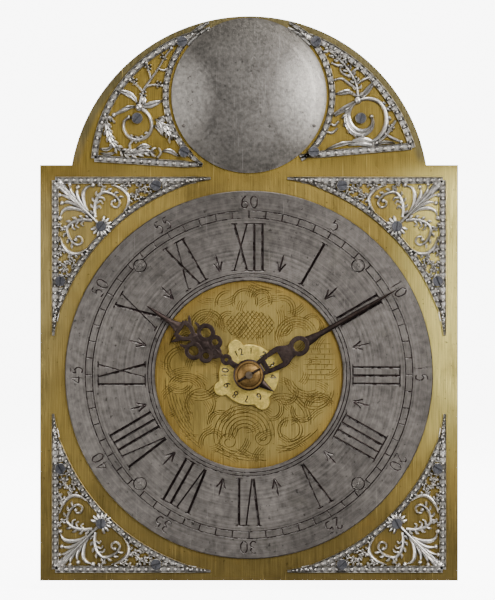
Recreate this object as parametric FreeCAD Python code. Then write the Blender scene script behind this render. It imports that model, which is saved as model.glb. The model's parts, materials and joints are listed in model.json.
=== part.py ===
"""Weight-driven alarm wall timepiece with a break-arch brass dial.

Millimetres. X to the right, Y from the front to the wall, Z up. Pieces are drawn about the axis of the
hands, with the dial plate's front face at Y = 0, and are moved at the end so that the origin is the eye
for the wall hook, on the plane of the wall.
"""
import FreeCAD
import Part
import math
import os
from FreeCAD import Vector

# Fits
running_clearance = 0.05
free_clearance = 0.3
end_shake = 0.3
overrun = 1.0

# Dial plate
dial_width = 178.0
dial_square_trim = 1.0
dial_thickness = 2.0
hand_axis_drop = 0.8
arch_shoulder = 12.4
arch_drop = 13.2

# Chapter ring and the rivets of ring and boss
ring_margin = 10.7
ring_inner_radius = 40.0
ring_thickness = 1.6
ring_rivet_radius = 2.5
ring_rivet_inset = 12.7
ring_rivet_degrees = (45.0, 135.0, 225.0, 315.0)
rivet_tail = 1.2
rivet_stand = 0.1

# Boss in the arch
boss_overlap = 2.6
boss_edge = 1.0
boss_rise = 1.5
boss_top_margin = 0.8
boss_rivet_radius = 0.8
boss_rivet_inset = 2.4
boss_rivet_degrees = (115.0, 245.0)

# Corner spandrels: strips follow the two edges and the chapter ring, scrolls join them
spandrel_margin = 5.0
spandrel_tip_gap = 16.0
spandrel_ring_gap = 6.4
spandrel_strip_width = 3.2
spandrel_strip_height = 2.2
spandrel_scroll_height = 1.6
spandrel_scroll_width = 2.0
spandrel_pad_radius = 3.2
spandrel_eye_radius = 1.6
spandrel_tip_share = 0.72
spandrel_screw_shares = ((0.31, 0.31), (0.653, 0.054), (0.054, 0.653))
spandrel_eye_shares = (0.372, 0.135)
spandrel_leaf_shares = ((0.31, 0.31), (0.145, 0.205), (0.025, 0.025), (0.205, 0.145))
spandrel_scroll_shares = (
    ((0.31, 0.31), (0.215, 0.17), (0.165, 0.025)),
    ((0.31, 0.31), (0.265, 0.15), (0.295, 0.025)),
    ((0.31, 0.31), (0.300, 0.17), (0.345, 0.075)),
    ((0.345, 0.075), (0.400, 0.09), (0.372, 0.135)),
    ((0.31, 0.31), (0.365, 0.25), (0.430, 0.23)),
    ((0.420, 0.025), (0.480, 0.09), (0.480, 0.20)),
    ((0.545, 0.020), (0.590, 0.06), (0.585, 0.13)),
    ((0.620, 0.020), (0.660, 0.05), (0.655, 0.09)),
)

# Arch spandrels: strips along the arch, the boss and the foot, with one large scroll between
arch_spandrel_margin = 2.6
arch_spandrel_boss_gap = 0.8
arch_foot_inner_rise = 0.8
arch_foot_outer_rise = 4.8
arch_scroll_radius_shares = (0.130, 0.072)
arch_scroll_centre_shares = (0.640, 0.424)
arch_screw_shares = ((0.6215, 0.432), (0.372, 0.858), (0.360, 0.2455))
arch_scroll_shares = (
    ((0.560, 0.525), (0.480, 0.580), (0.395, 0.575)),
    ((0.640, 0.554), (0.615, 0.660), (0.520, 0.755)),
    ((0.520, 0.755), (0.470, 0.745), (0.445, 0.700)),
    ((0.640, 0.554), (0.690, 0.600), (0.720, 0.655)),
    ((0.520, 0.755), (0.455, 0.810), (0.380, 0.840)),
    ((0.520, 0.440), (0.460, 0.460), (0.405, 0.430)),
    ((0.540, 0.345), (0.470, 0.320), (0.400, 0.235)),
    ((0.640, 0.294), (0.660, 0.250), (0.650, 0.185)),
    ((0.755, 0.370), (0.820, 0.330), (0.885, 0.255)),
    ((0.770, 0.440), (0.810, 0.450), (0.850, 0.430)),
)

# Slotted screws: those of the spandrels, and those of cocks, stand and bracket
spandrel_screw_head = 2.2
spandrel_screw_rise = 0.9
spandrel_screw_shank = 1.1
frame_screw_head = 2.0
frame_screw_rise = 1.2
frame_screw_shank = 1.2
frame_screw_inset = 2.4
screw_slot_width = 0.6
screw_slot_depth = 0.5
screw_slot_step_degrees = 37.0

# Dial feet and taper pins
dial_foot_x = 50.0
dial_foot_z = 60.0
dial_foot_radius = 2.8
dial_foot_neck = 1.9
pin_radius = 0.6
pin_length = 11.0
pin_land = 1.4

# Plates and pillars
motion_space = 12.0
plate_thickness = 2.0
plate_spacing = 50.0
plate_half_width = 57.0
plate_margin = 4.0
plate_corner = 4.0
cock_room = 15.0
pillar_x = 50.0
pillar_inset = 7.0
pillar_radius = 5.0
pillar_collar = 3.0
pillar_neck = 2.8
pillar_swell = 4.0
pillar_knop = 9.0
pillar_tenon = 2.4

# Tooth forms: height from the pitch circle in modules, and width as a share of the pitch
wheel_tooth_shares = ((-1.4, 0.46), (0.0, 0.46), (0.6, 0.30), (1.05, 0.09))
pinion_leaf_shares = ((-1.45, 0.34), (0.0, 0.36), (0.45, 0.26), (0.7, 0.10))

# Going train
great_teeth = 84
centre_leaves = 7
great_module = 0.9
centre_teeth = 72
third_leaves = 6
centre_module = 0.7
contrate_teeth = 72
crown_leaves = 6
contrate_module = 0.55
spokes = 4

# Great wheel, its arbor, rope pulley, ratchet and click
great_offset = 4.0
great_thickness = 2.6
great_hub = 15.0
great_rim = 4.4
great_spoke = 7.0
great_arbor_radius = 3.0
great_pivot = 1.4
ratchet_teeth = 24
ratchet_radius = 12.0
ratchet_tooth = 2.0
ratchet_thickness = 2.2
cheek_radius = 19.0
cheek_thickness = 1.6
pulley_core_radius = 13.0
pulley_groove = 10.0
pulley_spikes = 12
spike_radius = 1.0
spike_tip = 0.25
spike_phase_share = 0.5
spike_height = 2.6
click_reach = 7.0
click_eye = 2.4
click_thickness = 2.0
click_elbow_rise = 2.4
click_elbow_degrees = 52.0
click_bite = 0.4
click_tip_degrees = 55.0
click_tip_radius = 0.7
click_spring_gap = 0.2
click_spring_thickness = 0.8
click_spring_degrees = (0.0, 86.0)
click_spring_foot = 2.2

# Centre arbor and wheel
centre_pinion_offset = 2.6
centre_pinion_length = 6.2
centre_arbor_radius = 2.3
centre_front_radius = 1.5
centre_pivot = 1.1
centre_wheel_offset = 28.0
centre_thickness = 2.0
centre_hub = 6.5
centre_rim = 3.0
centre_spoke = 3.6

# Third arbor and contrate wheel
third_pinion_length = 5.6
third_arbor_radius = 1.4
third_pivot = 0.8
contrate_wall = 1.8
contrate_web = 1.4
contrate_depth = 5.2
contrate_hub = 4.0
contrate_spoke = 3.0
contrate_addendum_share = 1.0
contrate_dedendum_share = 1.35
contrate_notch_shares = ((-0.42, 1.0), (-0.27, 0.0), (0.27, 0.0), (0.42, 1.0))
contrate_phase_share = 0.5

# Crown wheel on its upright arbor, and the potence that carries it
crown_axis_offset = 21.0
crown_pinion_length = 5.2
crown_arbor_radius = 1.3
crown_pivot = 0.8
crown_teeth = 35
crown_radius = 13.0
crown_wall = 1.4
crown_web = 1.4
crown_rim_height = 4.0
crown_tooth_height = 3.6
crown_hub = 3.2
crown_spoke = 3.0
crown_notch_shares = ((-0.90, 1.0), (-0.06, 0.0), (0.0, 1.0))
crown_phase_share = 0.22
potence_half_width = 4.0
potence_foot_half_width = 7.5
potence_foot = 3.0
potence_lower = 4.0
potence_upper = 2.4
potence_gap = 1.2

# Verge, its rear cock, pendulum and bob
verge_height = 3.1
verge_radius = 1.3
verge_pivot = 0.9
pallet_length = 4.0
pallet_thickness = 0.7
pallet_width = 3.0
pallet_degrees = 48.0
back_cock_half_width = 9.0
back_cock_standoff = 3.0
back_cock_thickness = 3.0
back_cock_nose = 4.0
back_cock_gap = 5.0
verge_window = 4.0
pendulum_offset = 12.0
pendulum_length = 127.0
pendulum_rod_radius = 1.2
pendulum_eye = 2.8
pendulum_eye_length = 3.0
pendulum_end = 19.0
bob_radius = 10.0
bob_height = 22.0
bob_form_shares = ((0.32, 0.0), (0.80, 0.10), (1.0, 0.36), (0.80, 0.66), (0.48, 0.86), (0.34, 1.0))

# Motion work behind the dial
cannon_teeth = 36
minute_teeth = 54
minute_leaves = 8
hour_teeth = 64
minute_module = 0.52
cam_gap = 0.6
cam_thickness = 1.4
layer_gap = 1.0
hour_wheel_thickness = 1.6
hour_hub = 6.5
hour_rim = 2.6
hour_spoke = 3.2
hour_pipe_tail = 0.8
cannon_gap = 1.6
cannon_thickness = 2.0
minute_hub = 4.0
minute_rim = 2.0
minute_spoke = 2.6
cannon_wall = 0.9
hour_pipe_wall = 1.05
alarm_pipe_wall = 1.05
minute_stud_radius = 1.1
minute_stud_flange = 2.4
minute_stud_nose = 0.6

# Hands, collet and pin
hand_thickness = 1.0
hand_hub_wall = 1.6
hour_hand_length = 52.5
hour_hand_degrees = 304.0
hour_hand_lift = 3.8
minute_hand_length = 72.0
minute_hand_degrees = 60.0
minute_hand_lift = 6.0
collet_radius = 6.0
collet_height = 2.2
collet_edge = 0.7
hand_pin_radius = 0.5
hand_pin_length = 11.0
arbor_nose = 0.7
hour_spine_shares = ((0.06, 0.034), (0.20, 0.020), (0.30, 0.024), (0.49, 0.050), (0.60, 0.050))
hour_blade_shares = ((0.680, 0.062), (0.76, 0.030), (0.88, 0.020), (1.0, 0.004))
hour_barb_shares = ((0.545, 0.050), (0.590, 0.068), (0.655, 0.122), (0.690, 0.060))
hour_loop_shares = (
    (0.221, 0.0, 0.046, 0.015),
    (0.375, 0.066, 0.060, 0.026),
    (0.375, -0.066, 0.060, 0.026),
    (0.480, 0.088, 0.076, 0.040),
    (0.480, -0.088, 0.076, 0.040),
)
hour_window_shares = ((0.578, 0.030), (0.592, 0.040), (0.650, 0.052), (0.662, 0.036))
hour_tail_shares = ((-0.06, 0.045), (-0.15, 0.040), (-0.245, 0.003))
minute_frame_shares = ((0.03, 0.034), (0.09, 0.052), (0.215, 0.070), (0.250, 0.056), (0.31, 0.042))
minute_window_shares = ((0.128, 0.024), (0.140, 0.031), (0.200, 0.034), (0.212, 0.026))
minute_loop_shares = ((0.342, 0.0, 0.061, 0.034),)
minute_blade_shares = ((0.385, 0.034), (0.51, 0.016), (0.78, 0.0135), (1.0, 0.003))

# Alarm setting disc and trip cam
alarm_disc_lift = 0.8
alarm_disc_thickness = 1.2
alarm_disc_radius = 12.8
alarm_lobe_radius = 3.2
alarm_lobe_circle = 13.0
alarm_lobe_degrees = (64.0, 154.0, 244.0, 334.0)
cam_radius = 7.5
cam_tooth_radius = 9.5
cam_tooth_width = 2.4
cam_tooth_degrees = 120.0

# Alarm wheel, pulley and stud
alarm_x = -36.0
alarm_z = 42.0
alarm_stud_tenon = 2.0
alarm_stud_radius = 2.5
alarm_flange = 4.2
alarm_flange_length = 3.4
alarm_cheek_radius = 13.0
alarm_cheek_thickness = 1.4
alarm_core_radius = 9.0
alarm_groove = 6.0
alarm_spikes = 8
alarm_teeth = 13
alarm_wheel_radius = 10.8
alarm_wheel_wall = 1.6
alarm_wheel_hub = 4.4
alarm_wheel_spoke = 3.0
alarm_web = 1.4
alarm_rim_height = 4.0
alarm_tooth_height = 3.6
alarm_notch_shares = ((-0.86, 1.0), (-0.08, 0.0), (0.0, 1.0))
alarm_phase_share = 0.61
alarm_pin_length = 9.0

# Alarm verge, its cocks, and the hammer
alarm_verge_height = 4.3
alarm_verge_radius = 1.6
alarm_verge_pivot = 1.1
alarm_pallet_length = 5.0
alarm_pallet_thickness = 0.9
alarm_pallet_width = 3.6
alarm_pallet_degrees = 50.0
alarm_tail_z = 60.0
alarm_tail_length = 6.5
alarm_tail_thickness = 1.6
alarm_cock_half_width = 4.0
alarm_cock_thickness = 4.0
alarm_cock_foot = 2.5
alarm_cock_foot_half_height = 6.5
alarm_cock_lower_gap = 1.8
alarm_cock_upper_gap = 4.4
hammer_lift = 1.2
hammer_arm_height = 2.4
hammer_arm_width = 3.0
hammer_collar = 3.6
hammer_post = 1.4
hammer_head_radius = 6.0
hammer_head_height = 5.6
hammer_head_round = 1.0

# Bell, its stand and fixings
bell_mouth_lift = 3.0
bell_radius = 24.6
bell_height = 25.6
bell_wall = 1.6
bell_flat = 5.0
bell_head_rise = 5.0
bell_bolt_radius = 1.8
bell_bolt_head = 4.0
bell_bolt_head_height = 3.0
bell_collar_radius = 4.4
bell_nut_radius = 3.6
bell_nut_height = 2.4
bell_spacer = 3.4
bell_stand_half_width = 5.0
bell_stand_thickness = 3.0
bell_foot_half_width = 11.0
bell_foot_height = 10.0
bell_stand_overhang = 5.0

# Trip lever between the cam and the alarm verge
trip_x = -26.0
trip_z = 16.0
trip_arbor_radius = 1.4
trip_pivot = 0.9
trip_hub = 3.0
trip_arm_width = 2.6
trip_nose_gap = 0.4
trip_detent_gap = 0.6
trip_detent_thickness = 2.0
trip_tail_reach = 13.0
trip_tail_drop = 4.0
trip_tail_width = 5.0

# Hanging bracket and wall spikes
wall_standoff = 32.0
bracket_half_width = 20.0
bracket_strip = 3.0
bracket_height = 14.0
bracket_foot = 9.0
bracket_eye_radius = 5.0
bracket_eye_land = 10.0
bracket_eye_lift = 6.0
wall_spike_x = 48.0
wall_spike_z = -60.0
wall_spike_radius = 3.2
wall_spike_collar = 5.0
wall_spike_collar_length = 3.0
wall_spike_tenon = 2.0
wall_spike_point = 12.0

# Places along Y, from the dial's front face to the wall
plate_front = dial_thickness + motion_space
plate_inside = plate_front + plate_thickness
back_inside = plate_inside + plate_spacing
back_outside = back_inside + plate_thickness
wall_plane = back_outside + wall_standoff
cam_start = dial_thickness + cam_gap
cam_end = cam_start + cam_thickness
hour_start = cam_end + layer_gap
hour_end = hour_start + hour_wheel_thickness
cannon_start = hour_end + cannon_gap
cannon_end = cannon_start + cannon_thickness
great_start = plate_inside + great_offset
great_end = great_start + great_thickness
ratchet_start = great_end + end_shake
pulley_start = ratchet_start + ratchet_thickness
groove_start = pulley_start + cheek_thickness
groove_end = groove_start + pulley_groove
pulley_end = groove_end + cheek_thickness
centre_wheel_start = plate_inside + centre_wheel_offset
centre_wheel_end = centre_wheel_start + centre_thickness
centre_wheel_middle = centre_wheel_start + centre_thickness / 2
crown_axis_y = plate_inside + crown_axis_offset
pendulum_y = back_outside + pendulum_offset
verge_end = pendulum_y + pendulum_eye_length
alarm_pulley_start = plate_inside + alarm_flange_length + end_shake
alarm_groove_start = alarm_pulley_start + alarm_cheek_thickness
alarm_groove_end = alarm_groove_start + alarm_groove
alarm_wheel_start = alarm_groove_end + alarm_cheek_thickness
alarm_tip_y = alarm_wheel_start + alarm_rim_height + alarm_tooth_height
alarm_verge_y = alarm_tip_y + alarm_verge_height
alarm_pin_y = alarm_wheel_start + alarm_web + end_shake + pin_radius
hour_hand_front = -hour_hand_lift - hand_thickness
minute_hand_front = -minute_hand_lift - hand_thickness
collet_front = minute_hand_front - collet_height
hand_pin_y = collet_front - hand_pin_radius
alarm_disc_front = -alarm_disc_lift - alarm_disc_thickness

# Places across the dial
dial_half = dial_width / 2
dial_square_height = dial_width - dial_square_trim
shoulder_z = dial_square_height / 2 + hand_axis_drop
dial_bottom_z = shoulder_z - dial_square_height
arch_radius = dial_half - arch_shoulder
arch_rise = arch_radius - arch_drop
arch_centre_z = shoulder_z - arch_drop
ring_outer_radius = dial_half - ring_margin
ring_rivet_circle = ring_outer_radius - ring_rivet_inset
spandrel_leg = dial_half - spandrel_margin - spandrel_tip_gap
boss_radius = (arch_rise + boss_overlap) / 2
boss_z = shoulder_z + arch_rise - boss_top_margin - boss_radius
spandrel_ring_radius = ring_outer_radius + spandrel_ring_gap

# Places of the arbors and heights of the escapement
great_z = -great_module * (great_teeth + centre_leaves) / 2
third_z = centre_module * (centre_teeth + third_leaves) / 2
contrate_radius = contrate_module * contrate_teeth / 2
crown_pinion_radius = contrate_module * crown_leaves / 2
crown_mesh_z = third_z + contrate_radius
crown_pinion_low = crown_mesh_z - crown_pinion_length / 2
crown_pinion_high = crown_mesh_z + crown_pinion_length / 2
potence_lower_top = crown_pinion_low - potence_gap
potence_low = potence_lower_top - potence_lower
potence_upper_low = crown_pinion_high + potence_gap / 2
potence_high = potence_upper_low + potence_upper
crown_base_z = potence_high + potence_gap
crown_tip_z = crown_base_z + crown_rim_height + crown_tooth_height
verge_z = crown_tip_z + verge_height
plate_top_z = verge_z + cock_room
great_tip_radius = great_module * (great_teeth / 2 + wheel_tooth_shares[-1][0])
plate_bottom_z = great_z - great_tip_radius - plate_margin
pillar_top_z = plate_top_z - pillar_inset
pillar_bottom_z = plate_bottom_z + pillar_inset
motion_centre = minute_module * (cannon_teeth + minute_teeth) / 2
hour_module = 2 * motion_centre / (minute_leaves + hour_teeth)

# Radii of the nested pipes at the hands' axis
cannon_pipe = centre_front_radius + cannon_wall
hour_bore = cannon_pipe + running_clearance
hour_pipe = hour_bore + hour_pipe_wall
alarm_bore = hour_pipe + running_clearance
alarm_pipe = alarm_bore + alarm_pipe_wall

# Heights of the alarm work, the bell and the wall eye
alarm_mean_radius = alarm_wheel_radius - alarm_wheel_wall / 2
alarm_cock_lower_top = alarm_z - alarm_mean_radius - alarm_pallet_width / 2 - alarm_cock_lower_gap
alarm_cock_upper_low = alarm_tail_z + alarm_tail_thickness / 2 + alarm_cock_upper_gap
hammer_arm_z = plate_top_z + hammer_lift
hammer_arm_top = hammer_arm_z + hammer_arm_height
bell_mouth_z = hammer_arm_top + bell_mouth_lift
bell_top_z = bell_mouth_z + bell_height
bell_arm_z = bell_top_z + bell_spacer
hammer_head_z = bell_mouth_z + bell_head_rise
bracket_eye_z = plate_top_z + bracket_eye_lift

X_AXIS = Vector(1, 0, 0)
Y_AXIS = Vector(0, 1, 0)
Z_AXIS = Vector(0, 0, 1)
half_turn = math.pi
quarter_turn = math.pi / 2


def rod(radius, start, end, x=0, z=0):
    """Round bar along Y."""
    return Part.makeCylinder(radius, end - start, Vector(x, start, z), Y_AXIS)


def pipe(outer, bore, start, end, x=0, z=0):
    """Round pipe along Y."""
    return rod(outer, start, end, x, z).cut(rod(bore, start - overrun, end + overrun, x, z))


def post(radius, low, high, x=0, y=0):
    """Round bar along Z."""
    return Part.makeCylinder(radius, high - low, Vector(x, y, low), Z_AXIS)


def cross_pin(radius, length, x, y, z):
    """Round pin along X, centred on a place."""
    return Part.makeCylinder(radius, length, Vector(x - length / 2, y, z), X_AXIS)


def block(x_low, x_high, y_low, y_high, z_low, z_high):
    """Square block between two corners."""
    return Part.makeBox(x_high - x_low, y_high - y_low, z_high - z_low, Vector(x_low, y_low, z_low))


def slab(outline, start, end):
    """Plate along Y from the (x, z) corners of its outline."""
    corners = [Vector(x, start, z) for x, z in outline]
    face = Part.Face(Part.makePolygon(corners + corners[:1]))
    return face.extrude(Vector(0, end - start, 0))


def upright_slab(outline, low, high):
    """Plate along Z from the (x, y) corners of its outline."""
    corners = [Vector(x, y, low) for x, y in outline]
    face = Part.Face(Part.makePolygon(corners + corners[:1]))
    return face.extrude(Vector(0, 0, high - low))


def fused(shapes):
    """One solid from several that meet."""
    return shapes[0].multiFuse(shapes[1:]).removeSplitter()


def around(radius, degrees, x=0, z=0):
    """The (x, z) place at a clockwise angle from the top."""
    turn = math.radians(degrees)
    return x + radius * math.sin(turn), z + radius * math.cos(turn)


def bar_outline(first, last, first_width, last_width):
    """Corners of a straight, tapered bar between two (x, z) places."""
    reach = math.dist(first, last)
    side_x = (last[1] - first[1]) / reach / 2
    side_z = (first[0] - last[0]) / reach / 2
    corners = []
    for (x, z), width in ((first, first_width), (last, last_width), (last, -last_width), (first, -first_width)):
        corners.append((x + side_x * width, z + side_z * width))
    return corners


def strip(first, middle, last, width, start, end):
    """Bent strip of even width through three (x, z) places."""
    places = [Vector(x, start, z) for x, z in (first, middle, last)]
    centre = Part.Arc(*places).toShape().Curve.Center
    sides = []
    for offset in (width / 2, -width / 2):
        sides.append([place + (place - centre).normalize() * offset for place in places])
    edges = [Part.Arc(*side).toShape() for side in sides]
    edges += [Part.makeLine(sides[0][tip], sides[1][tip]) for tip in (0, -1)]
    face = Part.Face(Part.Wire(Part.__sortEdges__(edges)))
    return face.extrude(Vector(0, end - start, 0))


def turned(profile, x=0, z=0):
    """Solid turned about a line along Y, from (radius, y) corners that start and end on the line."""
    corners = [Vector(x + radius, y, z) for radius, y in profile]
    face = Part.Face(Part.makePolygon(corners + corners[:1]))
    return face.revolve(Vector(x, 0, z), Y_AXIS, 360)


def toothed_outline(teeth, module, form_shares, phase, x=0, z=0):
    """Corners of a toothed wheel with a tooth at the phase, in radians clockwise from the top."""
    corners = []
    for index in range(teeth):
        middle = phase + 2 * half_turn * index / teeth
        rising = [((teeth / 2 + rise) * module, middle - width * half_turn / teeth) for rise, width in form_shares]
        falling = [(radius, 2 * middle - angle) for radius, angle in reversed(rising)]
        for radius, angle in rising + falling:
            corners.append((x + radius * math.sin(angle), z + radius * math.cos(angle)))
    return corners


def wheel_windows(start, end, hub, rim, spoke_width, x=0, z=0):
    """The open sectors between a wheel's hub, rim and spokes."""
    windows = pipe(rim, hub, start - overrun, end + overrun, x, z)
    half = spoke_width / 2
    bars = []
    for index in range(spokes):
        bar = block(x - half, x + half, start - overrun, end + overrun, z, z + rim)
        bar.rotate(Vector(x, 0, z), Y_AXIS, 360 * index / spokes)
        bars.append(bar)
    return windows.cut(bars)


def spoked_wheel(teeth, module, phase, start, end, bore, hub, rim_width, spoke_width, x=0, z=0):
    """Toothed wheel with spokes, bored for its arbor."""
    blank = slab(toothed_outline(teeth, module, wheel_tooth_shares, phase, x, z), start, end)
    rim = module * (teeth / 2 + wheel_tooth_shares[0][0]) - rim_width
    windows = wheel_windows(start, end, hub, rim, spoke_width, x, z)
    return blank.cut([windows, rod(bore, start - overrun, end + overrun, x, z)])


def pinion(leaves, module, gap_at, start, end, x=0, z=0):
    """Leaves of a pinion along Y, with a gap between two leaves at an angle."""
    phase = gap_at + half_turn / leaves
    return slab(toothed_outline(leaves, module, pinion_leaf_shares, phase, x, z), start, end)


def crown_ring(teeth, radius, wall, rim_height, tooth_height, notch_shares, phase_share):
    """Ring along Z, from z = 0, toothed on its upper edge; for phase 0 a notch lies at -Y."""
    tip = rim_height + tooth_height
    ring = post(radius, 0, tip).cut(post(radius - wall, -overrun, tip + overrun))
    pitch = 2 * half_turn * (radius - wall / 2) / teeth
    profile = [(across * pitch, rim_height + up * tooth_height) for across, up in notch_shares]
    profile += [(profile[-1][0], tip + overrun), (profile[0][0], tip + overrun)]
    corners = [Vector(radius - wall - overrun, across, up) for across, up in profile]
    notch = Part.Face(Part.makePolygon(corners + corners[:1])).extrude(Vector(wall + 2 * overrun, 0, 0))
    notches = []
    for index in range(teeth):
        copy = notch.copy()
        copy.rotate(Vector(0, 0, 0), Z_AXIS, 360 * (index + phase_share) / teeth - 90)
        notches.append(copy)
    return ring.cut(notches)


def cup_web(radius, wall, web, hub, spoke_width, bore):
    """Spoked floor of a crown-shaped wheel, along Z from z = 0."""
    disc = post(radius - wall / 2, 0, web)
    windows = post(radius - wall, -overrun, web + overrun).cut(post(hub, -overrun, web + overrun))
    half = spoke_width / 2
    bars = []
    for index in range(spokes):
        bar = block(-half, half, 0, radius, -overrun, web + overrun)
        bar.rotate(Vector(0, 0, 0), Z_AXIS, 360 * index / spokes)
        bars.append(bar)
    return disc.cut([windows.cut(bars), post(bore, -overrun, web + overrun)])


def laid_back(shape, x, y, z):
    """A shape drawn about Z from z = 0, laid along Y from a place; its -Y side comes to the top."""
    shape.rotate(Vector(0, 0, 0), X_AXIS, -90)
    shape.translate(Vector(x, y, z))
    return shape


def slotted_screw(head, rise, shank, seat, tip, x, z, slot_degrees):
    """Screw along Y whose head stands off its seat, away from its tip, on the front or the back side."""
    side = 1 if tip > seat else -1
    low, high = sorted((seat, seat - side * rise))
    half = screw_slot_width / 2
    floor_low, floor_high = sorted((seat - side * (rise - screw_slot_depth), seat - side * (rise + overrun)))
    slot = block(x - half, x + half, floor_low, floor_high, z - head - overrun, z + head + overrun)
    slot.rotate(Vector(x, 0, z), Y_AXIS, slot_degrees)
    shank_low, shank_high = sorted((seat, tip))
    return fused([rod(head, low, high, x, z).cut(slot), rod(shank, shank_low, shank_high, x, z)])


def drilled(shape, holes, start, end):
    """A plate with round holes along Y, given as (radius, places)."""
    cuts = []
    for radius, places in holes:
        cuts += [rod(radius, start - overrun, end + overrun, x, z) for x, z in places]
    return shape.cut(cuts)


def ring_rivet_places():
    """Centres of the chapter ring's rivets."""
    return [around(ring_rivet_circle, degrees) for degrees in ring_rivet_degrees]


def boss_rivet_places():
    """Centres of the boss's rivets."""
    return [around(boss_radius - boss_rivet_inset, degrees, 0, boss_z) for degrees in boss_rivet_degrees]


def dial_foot_places():
    """Centres of the dial feet."""
    return [(side * dial_foot_x, level * dial_foot_z) for side in (-1, 1) for level in (-1, 1)]


def pillar_places():
    """Centres of the pillars."""
    return [(side * pillar_x, level) for side in (-1, 1) for level in (pillar_bottom_z, pillar_top_z)]


def spandrel_place(shares):
    """A place on the upper right corner spandrel, as shares of its leg from the outer corner."""
    across, down = shares
    corner_x = dial_half - spandrel_margin
    corner_z = shoulder_z - spandrel_margin
    return corner_x - across * spandrel_leg, corner_z - down * spandrel_leg


def arch_place(shares):
    """A place on the right arch spandrel, as shares of the arch's radius from its centre."""
    return shares[0] * arch_radius, arch_centre_z + shares[1] * arch_radius


def spandrel_screw_places():
    """Screw centres of all six spandrels."""
    corners = [spandrel_place(shares) for shares in spandrel_screw_shares]
    arches = [arch_place(shares) for shares in arch_screw_shares]
    places = []
    for side in (-1, 1):
        places += [(side * x, level * z) for x, z in corners for level in (-1, 1)]
        places += [(side * x, z) for x, z in arches]
    return places


def potence_screw_places():
    """Screw centres of the potence's foot."""
    x = potence_foot_half_width - frame_screw_inset
    return [(side * x, (potence_low + potence_high) / 2) for side in (-1, 1)]


def alarm_cock_levels():
    """Lower faces of the two cocks of the alarm verge."""
    return alarm_cock_lower_top - alarm_cock_thickness, alarm_cock_upper_low


def alarm_cock_screw_places():
    """Screw centres of the alarm cocks' feet."""
    reach = alarm_cock_foot_half_height - frame_screw_inset
    middles = [level + alarm_cock_thickness / 2 for level in alarm_cock_levels()]
    return [(alarm_x, middle + side * reach) for middle in middles for side in (-1, 1)]


def back_cock_screw_places():
    """Screw centres of the verge's rear cock."""
    x = back_cock_half_width - frame_screw_inset
    return [(side * x, (verge_z + back_cock_gap + plate_top_z) / 2) for side in (-1, 1)]


def bell_foot_screw_places():
    """Screw centres of the bell stand's foot."""
    x = bell_foot_half_width - frame_screw_inset
    return [(side * x, plate_top_z - bell_foot_height / 2) for side in (-1, 1)]


def bracket_screw_places():
    """Screw centres of the hanging bracket's feet."""
    x = bracket_half_width + bracket_strip + bracket_foot / 2
    reach = bracket_height / 2 - frame_screw_inset
    middle = plate_top_z - bracket_height / 2
    return [(side * x, middle + level * reach) for side in (-1, 1) for level in (-1, 1)]


def wall_spike_places():
    """Centres of the wall spikes."""
    return [(side * wall_spike_x, wall_spike_z) for side in (-1, 1)]


def dial_plate():
    """Brass plate of the dial, a square with a round arch, drilled for all that is fixed to it."""
    square = block(-dial_half, dial_half, 0, dial_thickness, dial_bottom_z, shoulder_z)
    arch = rod(arch_radius, 0, dial_thickness, 0, arch_centre_z)
    below = block(-dial_half, dial_half, -overrun, dial_thickness + overrun,
                  arch_centre_z - arch_radius - overrun, shoulder_z - overrun)
    holes = [(alarm_pipe + free_clearance, [(0, 0)]), (ring_rivet_radius, ring_rivet_places()),
             (boss_rivet_radius, boss_rivet_places()), (spandrel_screw_shank, spandrel_screw_places())]
    return drilled(fused([square, arch.cut(below)]), holes, 0, dial_thickness)


def chapter_ring():
    """Flat silvered hour ring."""
    ring = pipe(ring_outer_radius, ring_inner_radius, -ring_thickness, 0)
    return drilled(ring, [(ring_rivet_radius, ring_rivet_places())], -ring_thickness, 0)


def boss_front(radius):
    """Y of the domed boss's front at a distance from its centre."""
    return -boss_edge - boss_rise * (1 - (radius / boss_radius) ** 2)


def arch_boss():
    """Domed disc in the arch."""
    rim = Vector(boss_radius, 0, boss_z)
    edge = Vector(boss_radius, -boss_edge, boss_z)
    crown = Vector(0, boss_front(0), boss_z)
    centre = Vector(0, 0, boss_z)
    between = Vector(boss_radius / 2, boss_front(boss_radius / 2), boss_z)
    edges = [Part.makeLine(centre, rim), Part.makeLine(rim, edge),
             Part.Arc(edge, between, crown).toShape(), Part.makeLine(crown, centre)]
    dome = Part.Face(Part.Wire(edges)).revolve(centre, Y_AXIS, 360)
    return drilled(dome, [(boss_rivet_radius, boss_rivet_places())], boss_front(0), 0)


def dial_rivets():
    """Feet of the chapter ring and of the boss, riveted behind the dial."""
    tail = dial_thickness + rivet_tail
    rivets = [rod(ring_rivet_radius, -ring_thickness - rivet_stand, tail, x, z) for x, z in ring_rivet_places()]
    head = boss_front(boss_radius - boss_rivet_inset) - rivet_stand
    rivets += [rod(boss_rivet_radius, head, tail, x, z) for x, z in boss_rivet_places()]
    return Part.makeCompound(rivets)


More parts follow.
